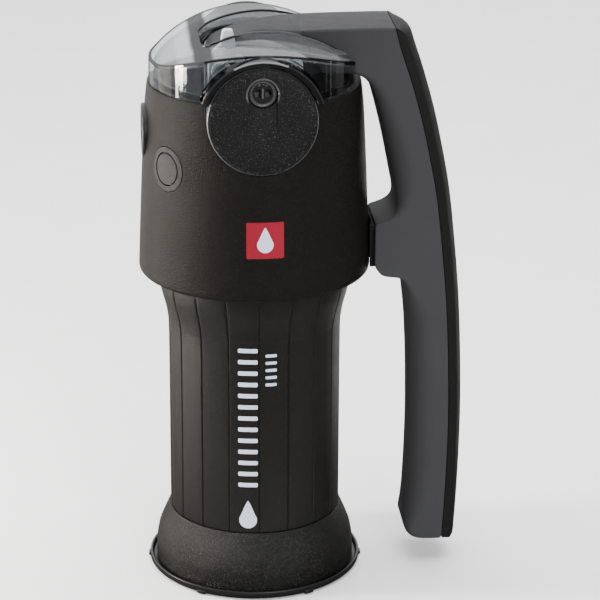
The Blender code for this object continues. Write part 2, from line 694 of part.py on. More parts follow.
def section_ring(outer, inner, depth, share, half):
    across = outer - inner
    thick = across.length
    across.normalize()
    wide = half * share
    flat = [(0.0, -(half - 0.7)), (0.5, -half)]
    flat += [
        (thick - depth + depth * math.sin(math.radians(a)), -(half - wide) - wide * math.cos(math.radians(a)))
        for a in (0, 28, 52, 72, 90)
    ]
    flat += [(d, -y) for d, y in reversed(flat)]
    return [((outer - across * d).x, y, (outer - across * d).y) for d, y in flat]


rings = [section_ring(o, i, d, s, ARM_HALF) for o, i, d, s in handle_sections(22)]
for dz, shrink in ((-3.2, 0.25), (-5.0, 1.0), (-5.9, 2.4)):
    o, i = Vector((63.2 - 0.05, 14.5 + dz)), Vector((50.3 + shrink, 14.5 + dz))
    rings.append(section_ring(o, i, 8.2 - shrink * 0.6, 0.92, ARM_HALF - shrink * 0.12))
handle_core = loft("handle_core", rings, own("handle_core", GREY, 0.5))
# the head: a narrow rocker between the yokes, and shoulders that widen it to
# the arm above them
HEAD_TOP = [
    (24.0, 187.9), (14.0, 187.75), (8.0, 187.7), (3.5, 187.5), (0.0, 187.2), (-3.0, 186.7), (-6.2, 185.6), (-8.2, 184.8), (-10.5, 183.9),
    (-13.0, 182.7), (-14.6, 181.1), (-15.6, 178.8), (-15.9, 176.0), (-15.5, 173.2), (-14.3, 171.3), (-12.6, 170.3),
]


def head_top(x):
    for (x1, z1), (x0, z0) in zip(HEAD_TOP, HEAD_TOP[1:]):
        if x0 <= x <= x1:
            return z0 + (z1 - z0) * (x - x0) / (x1 - x0)
    return HEAD_TOP[0][1]


rocker = outline(
    "rocker",
    [HEAD_TOP + [(-PIN_X, 170.1), (-5, 169.9), (0, 169.3), (6, 168.9), (PIN_X, 168.9), (16, 170.3), (20.5, 173.0), (24, 174.5)]],
    ROCKER_HALF,
    cutter=True,
)
combine(handle_core, rocker, "UNION")
shoulder = loft(
    "shoulder",
    [
        [(x, -w, SHOULDER_Z), (x, w, SHOULDER_Z), (x, w, head_top(x) - 0.4), (x, w - 0.4, head_top(x)), (x, -w + 0.4, head_top(x)), (x, -w, head_top(x) - 0.4)]
        for x, w in ((2.0, 7.5), (4.5, 8.5), (7.5, 9.8), (10.5, 10.8), (13.5, 11.25), (18.5, ARM_HALF - 0.03))
    ],
    cutter=True,
)
combine(handle_core, shoulder, "UNION")
horn_z = (104.6, 122.2)
horn = outline(
    "horn",
    [
        [(38.0, horn_z[0] + 2.2)] + arc(41.4, horn_z[0] + 3.2, 3.2, 200, 270, 4)
        + [(46.0, horn_z[0] - 0.3), (50.5, 101.6), (54, 100), (56, 126), (46.6, 127.2)]
        + [(45.9, 125.2), (44.3, 123.7), (41.8, horn_z[1] + 0.6), (38.0, horn_z[1])]
    ],
    ARM_HALF - 0.1,
    cutter=True,
)
horn_round = horn.modifiers.new("Edge", "BEVEL")
horn_round.width = 1.4 * MM
horn_round.segments = 2
horn_round.limit_method = "ANGLE"
horn_round.angle_limit = math.radians(60)
combine(handle_core, horn, "UNION")
combine(handle_core, cylinder("horn_end", PAD_R + 2.6, 90, 140, (0, 0, 1), (0, 0, 0), segments=72, cutter=True))
combine(handle_core, cylinder("rocker_bore", AXLE_R + 1.6, -12, 12, (0, 1, 0), (0, 0, PIVOT_Z), segments=16, cutter=True))
for name, sx in SIDE.items():
    combine(handle_core, cylinder("pin_bore_" + name, PIN_R + 0.25, -12, 12, (0, 1, 0), (sx * PIN_X, 0, PIN_Z[name]), segments=14, cutter=True))
turned(
    "rocker_bush",
    [(AXLE_R + 0.25, -8.2), (AXLE_R + 1.3, -8.2), (AXLE_R + 1.3, 8.2), (AXLE_R + 0.25, 8.2)],
    own("rocker_bush", WHITE, 0.35),
    steps=16,
    loc=(0, 0, PIVOT_Z),
    axis=(0, 1, 0),
)

# grip strip over the handle's back, from the arm's top edge to the foot
STRIP_EDGE = 3.2
STRIP_CROWN = 5.5
strip_path = [
    (Vector((44.6, 187.2)), Vector((44.7, 188.3))), (Vector((44.95, 186.0)), Vector((47.3, 188.3))),
    (Vector((45.3, 184.8)), Vector((49.6, 187.3))), (Vector((45.75, 183.2)), Vector((51.1, 185.2))),
]
sections = handle_sections(26)
for k, (o, i, d, s) in enumerate(sections):
    if k < 8 or o.y > 181.5:
        continue
    run = (sections[min(k + 1, len(sections) - 1)][0] - sections[k - 1][0]).normalized()
    normal = Vector((-run.y, run.x))
    if normal.x < 0:
        normal.negate()
    strip_path.append((o + normal * GAP, o + normal * STRIP_CROWN))
foot_in, foot_out = strip_path[-1]
strip_path.append((foot_in + Vector((0, -4.4)), foot_out + Vector((-0.2, -4.4))))
strip_path.append((foot_in + Vector((0, -5.9)), foot_out + Vector((-1.0, -5.9))))
strip_rings = []
for low, high in strip_path:
    half = ARM_HALF - 0.1
    shape = [
        (0.0, -half), (0.0, half), (0.56, half), (0.81, half - 1.3), (0.96, half - 5.5), (1.0, 0.0), (0.96, -half + 5.5),
        (0.81, -half + 1.3), (0.56, -half),
    ]
    strip_rings.append([((low + (high - low) * h).x, y, (low + (high - low) * h).y) for h, y in shape])
loft("handle_grip_strip", strip_rings, own("handle_grip_strip", SOFT_BLACK, 0.6))

# stop pad in the end of the horn
pad = box("handle_stop_pad", (30, -9.4, 106.9), (PAD_R + 2.2, 9.4, 120.9), own("handle_stop_pad", SOFT_BLACK, 0.8), round_=1.2)
combine(pad, cylinder("pad_hollow", PAD_R, 90, 140, (0, 0, 1), (0, 0, 0), segments=72, cutter=True))
combine(pad, cylinder("pad_back", PAD_R + 2.3, 90, 140, (0, 0, 1), (0, 0, 0), segments=72, cutter=True), "INTERSECT")

# ---- pins, yokes and pistons -------------------------------------------------
CHEEK_IN, CHEEK_OUT = 8.4, 11.0
for name, sx in SIDE.items():
    pz = PIN_Z[name]
    turned(
        "piston_pin_" + name,
        [
            (0, -11.9), (PIN_R - 0.3, -11.9), (PIN_R - 0.3, -11.3), (PIN_R, -11.3), (PIN_R, 11.4), (3.4, 11.4), (3.4, 12.3),
            (2.4, 12.5), (1.9, 12.0), (0, 12.0),
        ],
        own("piston_pin_" + name, STEEL if name == "right" else (0.8, 0.8, 0.8), 0.3, 1.0 if name == "right" else 0.0),
        steps=14,
        loc=(sx * PIN_X, 0, pz),
        axis=(0, -1, 0),
    )
    turned(
        "pin_clip_" + name,
        [(PIN_R - 0.1, 11.35), (3.3, 11.35), (3.3, 11.85), (PIN_R - 0.1, 11.85)],
        own("pin_clip_" + name, STEEL, 0.3, 1.0),
        steps=12,
        loc=(sx * PIN_X, 0, pz),
        axis=(0, 1, 0),
    )
    z0, z1 = pz - 17.8, pz - 13.8
    top = pz + 5.0
    out, inn = sx * (15.5 if name == "left" else 14.9), sx * 3.7
    cheek = [(inn, z0), (out, z0), (out, top - 2.0), (out - sx * 1.6, top), (inn + sx * 1.2, top), (inn, top - 1.2)]
    slot = (
        arc(sx * (PIN_X - 0.05), pz, 2.8, -90 if sx > 0 else 90, 90 if sx > 0 else 270, 6)
        + arc(sx * 7.75, pz, 2.8, 90 if sx > 0 else 270, 270 if sx > 0 else 450, 6)
    )
    yoke = outline(
        "piston_yoke_" + name, [cheek, slot], CHEEK_OUT, own("piston_yoke_" + name, WHITE, 0.35),
    )
    combine(yoke, box("yoke_gap_" + name, (min(out, inn) - 5, -CHEEK_IN, z1), (max(out, inn) + 5, CHEEK_IN, 195), cutter=True))
    if name == "left":
        lug = outline(
            "yoke_lug",
            [[
                (-14.9, 178.4), (-14.3, 180.4), (-13.6, 181.9), (-12.8, 182.8), (-11.7, 183.5), (-11.2, 186.0), (-10.8, 187.9), (-10.2, 188.45),
                (-8.1, 188.45), (-7.5, 187.8), (-6.9, 185.0), (-6.6, 182.0), (-6.4, 178.4),
            ]],
            (CHEEK_OUT - CHEEK_IN) / 2 - 0.1, mid=-(CHEEK_OUT + CHEEK_IN) / 2, cutter=True,
        )
        combine(yoke, lug, "UNION")
    rod = cylinder("rod_" + name, 3.5, pz - 44.9, z0 + 1.0, (0, 0, 1), (sx * CYL_X, 0, 0), segments=24, cutter=True)
    combine(yoke, rod, "UNION")
    hz = pz - 45.6
    turned(
        "piston_head_" + name,
        [
            (0, hz), (9.3, hz), (9.3, hz + 1.9), (8.0, hz + 1.9), (8.0, hz + 4.1), (9.3, hz + 4.1), (9.3, hz + 6.0), (3.9, hz + 6.0),
            (3.9, hz + 0.5), (0, hz + 0.5),
        ],
        own("piston_head_" + name, (0.35, 0.36, 0.37), 0.35),
        steps=18,
        loc=(sx * CYL_X, 0, 0),
    )
    turned(
        "piston_seal_" + name,
        [(8.25, hz + 2.2), (9.6, hz + 2.2), (9.8, hz + 3.0), (9.6, hz + 3.8), (8.25, hz + 3.8)],
        own("piston_seal_" + name, SEAL, 0.5),
        steps=18,
        loc=(sx * CYL_X, 0, 0),
    )
    turned(
        "rod_guide_" + name,
        [(3.85, 144.2), (9.7, 144.2), (9.7, 146.6), (3.85, 146.6)],
        own("rod_guide_" + name, WHITE, 0.4),
        steps=18,
        loc=(sx * CYL_X, 0, 0),
    )
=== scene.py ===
"""The looks of the hand pump water filter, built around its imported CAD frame.

Millimetre numbers are turned into metres by MM. The frame is the CAD's: origin
on the body axis at floor level, +Z up, +X towards the handle, -Y the front.
"""

import math

import bmesh
import bpy
from mathutils import Matrix, Vector
from mathutils.geometry import tessellate_polygon


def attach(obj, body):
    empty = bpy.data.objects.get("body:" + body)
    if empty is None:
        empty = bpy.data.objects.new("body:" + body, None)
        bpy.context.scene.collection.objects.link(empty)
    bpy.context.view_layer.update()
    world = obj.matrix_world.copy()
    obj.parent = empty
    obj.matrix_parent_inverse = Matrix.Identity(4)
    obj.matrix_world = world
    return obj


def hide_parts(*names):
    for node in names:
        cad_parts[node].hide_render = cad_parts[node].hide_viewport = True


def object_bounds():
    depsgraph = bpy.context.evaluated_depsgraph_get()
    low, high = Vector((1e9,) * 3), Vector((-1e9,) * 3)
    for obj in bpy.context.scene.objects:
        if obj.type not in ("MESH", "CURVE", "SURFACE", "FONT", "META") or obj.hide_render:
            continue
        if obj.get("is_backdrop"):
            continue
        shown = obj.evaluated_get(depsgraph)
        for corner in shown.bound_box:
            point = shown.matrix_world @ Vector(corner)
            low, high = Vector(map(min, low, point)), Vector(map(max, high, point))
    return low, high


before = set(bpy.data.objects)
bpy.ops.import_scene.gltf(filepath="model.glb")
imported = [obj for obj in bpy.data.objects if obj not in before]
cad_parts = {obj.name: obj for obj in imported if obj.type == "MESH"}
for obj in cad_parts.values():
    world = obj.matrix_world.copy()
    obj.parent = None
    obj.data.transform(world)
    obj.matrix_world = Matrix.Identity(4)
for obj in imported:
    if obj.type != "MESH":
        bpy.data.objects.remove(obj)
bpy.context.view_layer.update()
MM = 0.001

# ---- sizes repeated from the design (mm) --------------------------------------
CAP_R, SKIRT_R, SKIRT_TOP = 35.7, 33.4, 20.8
SOCKET_R, SOCKET_TOP, THREAD_CREST_R, THREAD_PITCH, ADAPTER_FLOOR = 31.7, 11.2, 30.5, 4.0, 14.6
SPIGOT_R, FLUTED_R, FLUTED_BOTTOM, FLUTES, NECK_R, NECK_TOP = 27.3, 28.6, 21.1, 18, 31.5, 112.0
UPPER_BOTTOM, UPPER_TOP, UPPER_WALL, BULKHEAD_Z = 105.9, 169.4, 2.2, 113.5
PIVOT_Z, DISC_Z, DISC_R, DISC_FACE, DISC_BACK, PORT_R, AXLE_R = 174.35, 165.3, 17.5, 37.0, 29.5, 4.7, 2.6
COVER_BOTTOM, COVER_R, COVER_WALL, SLOT_HALF, SLOT_LEFT = UPPER_TOP + 0.3, 34.15, 1.8, 13.1, -17.6
HOOD_OUT, HOOD_IN, HOOD_FACE = 20.1, 18.0, 38.5
CYL_X, BORE_R, BLOCK_Z0, BLOCK_Z1, PIN_R = 11.4, 10.0, 118.3, 147.0, 2.2
PIN_X = 11.2 * math.cos(math.radians(3.0))
PIN_RISE = 11.2 * math.sin(math.radians(3.0))
PIN_Z = {"left": PIVOT_Z + PIN_RISE, "right": PIVOT_Z - PIN_RISE}
SIDE = {"left": -1.0, "right": 1.0}
ARM_HALF, ROCKER_HALF, PAD_R = 11.4, 7.9, 38.4
PLUG_DEG, PLUG_Z, INLET_Z = -54.5, 146.0, 153.0
PLUG_DIR = (math.sin(math.radians(PLUG_DEG)), -math.cos(math.radians(PLUG_DEG)), 0.045)


# ---- mesh helpers ---------------------------------------------------------------
def cat(points, count):
    """Catmull-Rom through points of any dimension, count samples, ends included."""
    pts = [tuple(2 * a - b for a, b in zip(points[0], points[1]))] + [tuple(p) for p in points]
    pts.append(tuple(2 * a - b for a, b in zip(points[-1], points[-2])))
    spans = len(pts) - 3
    found = []
    for k in range(count):
        s = k / (count - 1) * spans
        i = min(int(s), spans - 1)
        t = s - i
        found.append(tuple(
            0.5 * (2 * b + (c - a) * t + (2 * a - 5 * b + 4 * c - d) * t * t + (3 * b - a - 3 * c + d) * t**3)
            for a, b, c, d in zip(*pts[i : i + 4])
        ))
    return found


def even(points, step):
    """The polyline resampled at even distances along its first two coordinates."""
    run = [0.0]
    for a, b in zip(points, points[1:]):
        run.append(run[-1] + math.hypot(b[0] - a[0], b[1] - a[1]))
    count = max(2, round(run[-1] / step))
    found, j = [], 0
    for k in range(count + 1):
        s = run[-1] * k / count
        while j < len(run) - 2 and run[j + 1] < s:
            j += 1
        t = (s - run[j]) / max(run[j + 1] - run[j], 1e-9)
        found.append(tuple(a + (b - a) * t for a, b in zip(points[j], points[j + 1])))
    return found


def relaxed(points, times, closed=False):
    pts = [tuple(p) for p in points]
    for _ in range(times):
        new = list(pts)
        for i in range(len(pts)):
            if not closed and i in (0, len(pts) - 1):
                continue
            a, b, c = pts[i - 1], pts[i], pts[(i + 1) % len(pts)]
            new[i] = tuple(0.25 * x + 0.5 * y + 0.25 * z for x, y, z in zip(a, b, c))
        pts = new
    return pts


def arc(cx, cy, r, a0, a1, n):
    return [
        (cx + r * math.cos(math.radians(a0 + (a1 - a0) * i / n)), cy + r * math.sin(math.radians(a0 + (a1 - a0) * i / n)))
        for i in range(n + 1)
    ]


def eased(profile, radius, segs=3):
    """A closed profile with its corners rounded by up to radius; points on the axis stay."""
    n, found = len(profile), []
    for i, p in enumerate(profile):
        a, b = Vector(profile[i - 1]), Vector(profile[(i + 1) % n])
        p = Vector(p)
        if p.x < 1e-6 or radius <= 0:
            found.append(tuple(p))
            continue
        u, v = a - p, b - p
        bend = math.pi - u.angle(v, 0.0)
        if bend < math.radians(12):
            found.append(tuple(p))
            continue
        size = min(radius, 0.42 * u.length, 0.42 * v.length)
        start, stop = p + u.normalized() * size, p + v.normalized() * size
        for k in range(segs + 1):
            t = k / segs
            found.append(tuple((1 - t) ** 2 * start + 2 * t * (1 - t) * p + t * t * stop))
    return found


def closed_up(bm):
    bmesh.ops.recalc_face_normals(bm, faces=bm.faces)
    if bm.calc_volume(signed=True) < 0:
        bmesh.ops.reverse_faces(bm, faces=bm.faces)


def add_mesh(name, bm, angle=35.0):
    mesh = bpy.data.meshes.new(name)
    bm.to_mesh(mesh)
    bm.free()
    mesh.shade_smooth()
    mesh.set_sharp_from_angle(angle=math.radians(angle))
    obj = bpy.data.objects.new(name, mesh)
    bpy.context.scene.collection.objects.link(obj)
    return obj


def aimed(obj, loc=(0, 0, 0), axis=(0, 0, 1)):
    turn = Vector((0, 0, 1)).rotation_difference(Vector(axis)).to_matrix().to_4x4()
    obj.data.transform(Matrix.Translation([c * MM for c in loc]) @ turn)
    return obj


def full_circle(steps):
    return [360.0 * i / steps for i in range(steps)]


def lathe(name, profile, steps=96, loc=(0, 0, 0), axis=(0, 0, 1), radius=0.0, angles=None, shift=None, angle=35.0):
    """A closed (radius, height) profile turned about Z. shift(a, r, z) may change r."""
    pts = eased(profile, radius)
    angles = angles or full_circle(steps)
    bm = bmesh.new()
    rings = []
    for r, z in pts:
        if r < 1e-6:
            rings.append([bm.verts.new((0, 0, z * MM))])
            continue
        ring = []
        for a in angles:
            rr = shift(a, r, z) if shift else r
            ring.append(bm.verts.new((rr * math.cos(math.radians(a)) * MM, rr * math.sin(math.radians(a)) * MM, z * MM)))
        rings.append(ring)
    n = len(angles)
    for a, b in zip(rings, rings[1:] + rings[:1]):
        if len(a) == 1 and len(b) == 1:
            continue
        for i in range(n):
            j = (i + 1) % n
            if len(a) == 1:
                bm.faces.new((a[0], b[j], b[i]))
            elif len(b) == 1:
                bm.faces.new((a[i], a[j], b[0]))
            else:
                bm.faces.new((a[i], a[j], b[j], b[i]))
    closed_up(bm)
    return aimed(add_mesh(name, bm, angle), loc, axis)


def skin(name, rings, angle=35.0):
    """A closed skin through rings of equal point counts (mm), capped with fans."""
    bm = bmesh.new()
    rows = [[bm.verts.new([c * MM for c in p]) for p in ring] for ring in rings]
    n = len(rows[0])
    for a, b in zip(rows, rows[1:]):
        for i in range(n):
            j = (i + 1) % n
            bm.faces.new((a[i], a[j], b[j], b[i]))
    for row in (rows[0], rows[-1]):
        face = bm.faces.new(row)
        bmesh.ops.poke(bm, faces=[face])
    closed_up(bm)
    return add_mesh(name, bm, angle)


def tube(name, radius, start, end, axis, loc, segs=64):
    return lathe(name, [(0, start), (radius, start), (radius, end), (0, end)], segs, loc, axis)


def block(name, low, high, ease=0.0):
    bm = bmesh.new()
    bmesh.ops.create_cube(bm, size=1.0)
    for v in bm.verts:
        v.co = [(a + b) / 2 * MM + c * (b - a) * MM for a, b, c in zip(low, high, v.co)]
    if ease:
        bmesh.ops.bevel(bm, geom=list(bm.edges), offset=ease * MM, segments=3, affect="EDGES", profile=0.5)
    return add_mesh(name, bm)


def outline(name, loops, half, plane="XZ", mid=0.0, ease=0.0):
    """A flat outline with holes, 2 x half thick about mid, its edges rounded by ease."""
    curve = bpy.data.curves.new(name, "CURVE")
    curve.dimensions = "2D"
    curve.fill_mode = "BOTH"
    curve.extrude = (half - ease) * MM
    curve.bevel_depth = ease * MM
    curve.bevel_resolution = 2
    curve.offset = -ease * MM
    for loop in loops:
        spline = curve.splines.new("POLY")
        spline.points.add(len(loop) - 1)
        for point, (u, v) in zip(spline.points, loop):
            point.co = (u * MM, v * MM, 0, 1)
        spline.use_cyclic_u = True
    temp = bpy.data.objects.new(name + "_curve", curve)
    bpy.context.scene.collection.objects.link(temp)
    bpy.context.view_layer.update()
    mesh = bpy.data.meshes.new_from_object(temp.evaluated_get(bpy.context.evaluated_depsgraph_get()))
    bpy.data.objects.remove(temp)
    bpy.data.curves.remove(curve)
    bm = bmesh.new()
    bm.from_mesh(mesh)
    bpy.data.meshes.remove(mesh)
    bmesh.ops.remove_doubles(bm, verts=bm.verts, dist=0.000004)
    closed_up(bm)
    obj = add_mesh(name, bm, 30)
    if plane == "XZ":
        obj.data.transform(Matrix.Translation((0, mid * MM, 0)) @ Matrix.Rotation(math.pi / 2, 4, "X"))
    else:
        obj.data.transform(Matrix.Translation((0, 0, mid * MM)))
    return obj


def combine(obj, *tools, operation="DIFFERENCE", solver="EXACT", angle=35.0):
    """Applies Booleans with the tools, which are then removed."""
    for tool in tools:
        mod = obj.modifiers.new("Boolean", "BOOLEAN")
        mod.operation, mod.object, mod.solver = operation, tool, solver
        bpy.context.view_layer.update()
        mesh = bpy.data.meshes.new_from_object(obj.evaluated_get(bpy.context.evaluated_depsgraph_get()))
        old, count = obj.data, len(mesh.polygons)
        obj.modifiers.clear()
        if count < 4:
            raise RuntimeError(f"{obj.name}: the cut by {tool.name} left nothing")
        obj.data = mesh
        bpy.data.meshes.remove(old)
        bpy.data.objects.remove(tool)
    obj.data.materials.clear()
    obj.data.shade_smooth()
    obj.data.set_sharp_from_angle(angle=math.radians(angle))
    return obj


def union(obj, *tools, solver="EXACT", angle=35.0):
    return combine(obj, *tools, operation="UNION", solver=solver, angle=angle)


def common(obj, *tools, solver="EXACT", angle=35.0):
    return combine(obj, *tools, operation="INTERSECT", solver=solver, angle=angle)


# ---- materials -------------------------------------------------------------------
def nodes_of(name):
    mat = bpy.data.materials.new(name)
    mat.use_nodes = True
    tree = mat.node_tree
    shader = tree.nodes["Principled BSDF"]
    coords = tree.nodes.new("ShaderNodeTexCoord")
    return mat, tree, shader, coords


def noise(tree, coords, scale, detail=2.0, rough=0.55):
    node = tree.nodes.new("ShaderNodeTexNoise")
    node.inputs["Scale"].default_value = scale
    node.inputs["Detail"].default_value = detail
    node.inputs["Roughness"].default_value = rough
    tree.links.new(coords.outputs["Object"], node.inputs["Vector"])
    return node


def ramp(tree, source, stops):
    node = tree.nodes.new("ShaderNodeValToRGB")
    elements = node.color_ramp.elements
    while len(elements) < len(stops):
        elements.new(0.5)
    for element, (place, value) in zip(elements, stops):
        element.position = place
        element.color = (*value, 1.0) if isinstance(value, tuple) else (value, value, value, 1.0)
    tree.links.new(source, node.inputs["Fac"])
    return node


def moulded(name, colour, rough, grain=2600.0, bump=0.25, depth=0.05, spec=0.5, flecks=None, fleck_share=0.3, warm=None, spread=0.08, fine_bump=True):
    """Moulded plastic: base colour with slow variation, grain in the surface, and optional bright flecks."""
    mat, tree, shader, coords = nodes_of(name)
    slow = noise(tree, coords, 38.0, 2.0)
    other = warm or tuple(c * (1 + 2 * spread) for c in colour)
    tint = ramp(tree, slow.outputs["Fac"], [(0.35, colour), (0.68, other)])
    colour_out = tint.outputs["Color"]
    grit = noise(tree, coords, grain, 3.0, 0.6)
    if flecks:
        spots = noise(tree, coords, grain * 0.8, 1.0, 0.4)
        mask = ramp(tree, spots.outputs["Fac"], [(0.64 - 0.12 * fleck_share, 0.0), (0.76 - 0.08 * fleck_share, 1.0)])
        mix = tree.nodes.new("ShaderNodeMix")
        mix.data_type = "RGBA"
        tree.links.new(mask.outputs["Color"], mix.inputs["Factor"])
        tree.links.new(colour_out, mix.inputs["A"])
        mix.inputs["B"].default_value = (*flecks, 1.0)
        colour_out = mix.outputs["Result"]
    tree.links.new(colour_out, shader.inputs["Base Color"])
    rough_map = ramp(tree, noise(tree, coords, 160.0, 2.0).outputs["Fac"], [(0.3, rough * (1 - spread)), (0.7, min(1.0, rough * (1 + spread)))])
    tree.links.new(rough_map.outputs["Color"], shader.inputs["Roughness"])
    if fine_bump:
        node = tree.nodes.new("ShaderNodeBump")
        node.inputs["Strength"].default_value = bump
        node.inputs["Distance"].default_value = depth * MM
        tree.links.new(grit.outputs["Fac"], node.inputs["Height"])
        tree.links.new(node.outputs["Normal"], shader.inputs["Normal"])
    shader.inputs["Specular IOR Level"].default_value = spec
    mat.diffuse_color = (*colour, 1.0)
    return mat


def metal(name, colour, rough):
    mat, tree, shader, coords = nodes_of(name)
    stretch = tree.nodes.new("ShaderNodeMapping")
    stretch.inputs["Scale"].default_value = (1.0, 1.0, 14.0)
    tree.links.new(coords.outputs["Object"], stretch.inputs["Vector"])
    brushed = tree.nodes.new("ShaderNodeTexNoise")
    brushed.inputs["Scale"].default_value = 420.0
    brushed.inputs["Detail"].default_value = 3.0
    tree.links.new(stretch.outputs["Vector"], brushed.inputs["Vector"])
    tree.links.new(ramp(tree, brushed.outputs["Fac"], [(0.3, rough * 0.75), (0.7, rough * 1.3)]).outputs["Color"], shader.inputs["Roughness"])
    tree.links.new(ramp(tree, brushed.outputs["Fac"], [(0.3, tuple(c * 0.88 for c in colour)), (0.7, colour)]).outputs["Color"], shader.inputs["Base Color"])
    node = tree.nodes.new("ShaderNodeBump")
    node.inputs["Strength"].default_value = 0.08
    node.inputs["Distance"].default_value = 0.02 * MM
    tree.links.new(brushed.outputs["Fac"], node.inputs["Height"])
    tree.links.new(node.outputs["Normal"], shader.inputs["Normal"])
    shader.inputs["Metallic"].default_value = 1.0
    return mat


def clear(name, near, grazing):
    """Thin clear plastic. near and grazing are what one surface lets through, head on and edge on.

    The crease between roof and wall, the slot's rim and the hoods in front of the wall are thick, and
    refraction there shows dark parts behind, so a mask in object coordinates paints them near black: painted shade.
    """
    mat, tree, shader, coords = nodes_of(name)

    def maths(operation, *values):
        node = tree.nodes.new("ShaderNodeMath")
        node.operation = operation
        for socket, value in zip(node.inputs, values):
            if isinstance(value, (int, float)):
                socket.default_value = value
            else:
                tree.links.new(value, socket)
        return node.outputs["Value"]

    def rises(value, low, high):
        node = tree.nodes.new("ShaderNodeMapRange")
        node.inputs["From Min"].default_value = low
        node.inputs["From Max"].default_value = high
        tree.links.new(value, node.inputs["Value"])
        return node.outputs["Result"]

    split = tree.nodes.new("ShaderNodeSeparateXYZ")
    tree.links.new(coords.outputs["Object"], split.inputs["Vector"])
    x, y, z = (maths("MULTIPLY", split.outputs[k], 1000.0) for k in "XYZ")
    x2 = maths("MULTIPLY", x, x)
    radial = maths("SQRT", maths("ADD", x2, maths("MULTIPLY", y, y)))
    roof_z = maths("MAXIMUM", maths("SUBTRACT", 185.9, maths("MULTIPLY", x2, 10.0 / 34.0**2)), 177.5)
    outside = rises(radial, COVER_R - COVER_WALL + 0.15, COVER_R - COVER_WALL + 0.3)
    band = maths("MULTIPLY", outside, rises(maths("SUBTRACT", z, roof_z), -0.75, -0.6))
    band = maths("MULTIPLY", band, rises(radial, COVER_R - 1.25, COVER_R - 1.1))
    from_rim = maths("SUBTRACT", x, 3.0)
    rim_z = maths("SUBTRACT", 188.6, maths("MULTIPLY", maths("MULTIPLY", from_rim, from_rim), 0.0126))
    lip = maths("MULTIPLY", rises(maths("SUBTRACT", z, rim_z), -0.7, -0.45), rises(z, 182.0, 182.5))
    rise = maths("SUBTRACT", z, DISC_Z)
    ring = maths("SQRT", maths("ADD", x2, maths("MULTIPLY", rise, rise)))
    hood = maths("MULTIPLY", rises(maths("ABSOLUTE", y), 29.0, 29.4), maths("MULTIPLY", rises(ring, HOOD_IN - 0.3, HOOD_IN - 0.1), rises(ring, HOOD_OUT + 0.3, HOOD_OUT + 0.1)))
    hood = maths("MULTIPLY", hood, rises(radial, COVER_R - 0.1, COVER_R + 0.2))
    # painted shade: the crease band, the rim lip and the hood rings are tinted near black and kept glossy, for the
    # darkness refraction gives there
    painted_dark_edges = maths("MAXIMUM", maths("MAXIMUM", band, lip), hood)

    slow = noise(tree, coords, 14.0, 1.0)
    facing = tree.nodes.new("ShaderNodeLayerWeight")
    facing.inputs["Blend"].default_value = 0.5
    tint = ramp(tree, facing.outputs["Facing"], [(0.5, near), (0.74, tuple(0.84 * c for c in near)), (0.97, grazing)])

    def mixed(kind, factor, a, b):
        node = tree.nodes.new("ShaderNodeMix")
        node.data_type = "RGBA"
        node.blend_type = kind
        for key, value in (("Factor", factor), ("A", a), ("B", b)):
            socket = next(n for n in node.inputs if n.name == key and n.enabled)
            if isinstance(value, tuple):
                socket.default_value = value
            elif isinstance(value, float):
                socket.default_value = value
            else:
                tree.links.new(value, socket)
        return next(n for n in node.outputs if n.enabled)

    mottle = ramp(tree, slow.outputs["Fac"], [(0.3, (0.97, 0.97, 0.97)), (0.7, (1.0, 1.0, 1.0))])
    see = mixed("MULTIPLY", 1.0, tint.outputs["Color"], mottle.outputs["Color"])
    # the painted shade: the see-through colour goes to near black inside the mask
    see = mixed("MIX", painted_dark_edges, see, (0.05, 0.05, 0.052, 1.0))
    through = tree.nodes.new("ShaderNodeBsdfTransparent")
    tree.links.new(see, through.inputs["Color"])
    bump = tree.nodes.new("ShaderNodeBump")
    bump.inputs["Strength"].default_value = 0.05
    bump.inputs["Distance"].default_value = 0.05 * MM
    tree.links.new(noise(tree, coords, 110.0, 1.0).outputs["Fac"], bump.inputs["Height"])
    tree.links.new(bump.outputs["Normal"], shader.inputs["Normal"])
    tree.links.new(ramp(tree, slow.outputs["Fac"], [(0.3, (0.90, 0.91, 0.92)), (0.7, (0.94, 0.95, 0.96))]).outputs["Color"], shader.inputs["Base Color"])
    inner = maths("MULTIPLY", rises(radial, COVER_R - 1.2, COVER_R - 1.8), rises(z, 171.5, 172.0))
    inner = maths("MULTIPLY", inner, maths("SUBTRACT", 1.0, painted_dark_edges))
    inner = maths("MULTIPLY", inner, rises(maths("SUBTRACT", z, roof_z), -2.3, -2.0))
    tree.links.new(maths("SUBTRACT", 1.0, maths("MULTIPLY", inner, 0.45)), shader.inputs["Metallic"])
    shader.inputs["Roughness"].default_value = 0.045
    share = ramp(tree, facing.outputs["Facing"], [(0.45, 0.028), (0.70, 0.085), (0.85, 0.20), (0.97, 0.50)])
    blend = tree.nodes.new("ShaderNodeMixShader")
    # painted light: extra reflective haze on the inside of the wall between X -26 and -9 mm, a lighter patch standing
    # in for light falling on the cover's left
    painted_left_light = maths("MULTIPLY", rises(x, -9.0, -17.0), rises(x, -26.0, -24.5))
    share = maths("ADD", share.outputs["Color"], maths("MULTIPLY", inner, maths("ADD", 0.014, maths("MULTIPLY", painted_left_light, 0.080))))
    share = maths("MAXIMUM", maths("MULTIPLY", share, maths("SUBTRACT", 1.0, maths("MULTIPLY", painted_dark_edges, 0.65))), maths("MULTIPLY", painted_dark_edges, 0.075))
    tree.links.new(share, blend.inputs["Fac"])
    tree.links.new(through.outputs["BSDF"], blend.inputs[1])
    tree.links.new(shader.outputs["BSDF"], blend.inputs[2])
    output = tree.nodes["Material Output"]
    tree.links.new(blend.outputs["Shader"], output.inputs["Surface"])
    mat.diffuse_color = (*near, 0.35)
    return mat


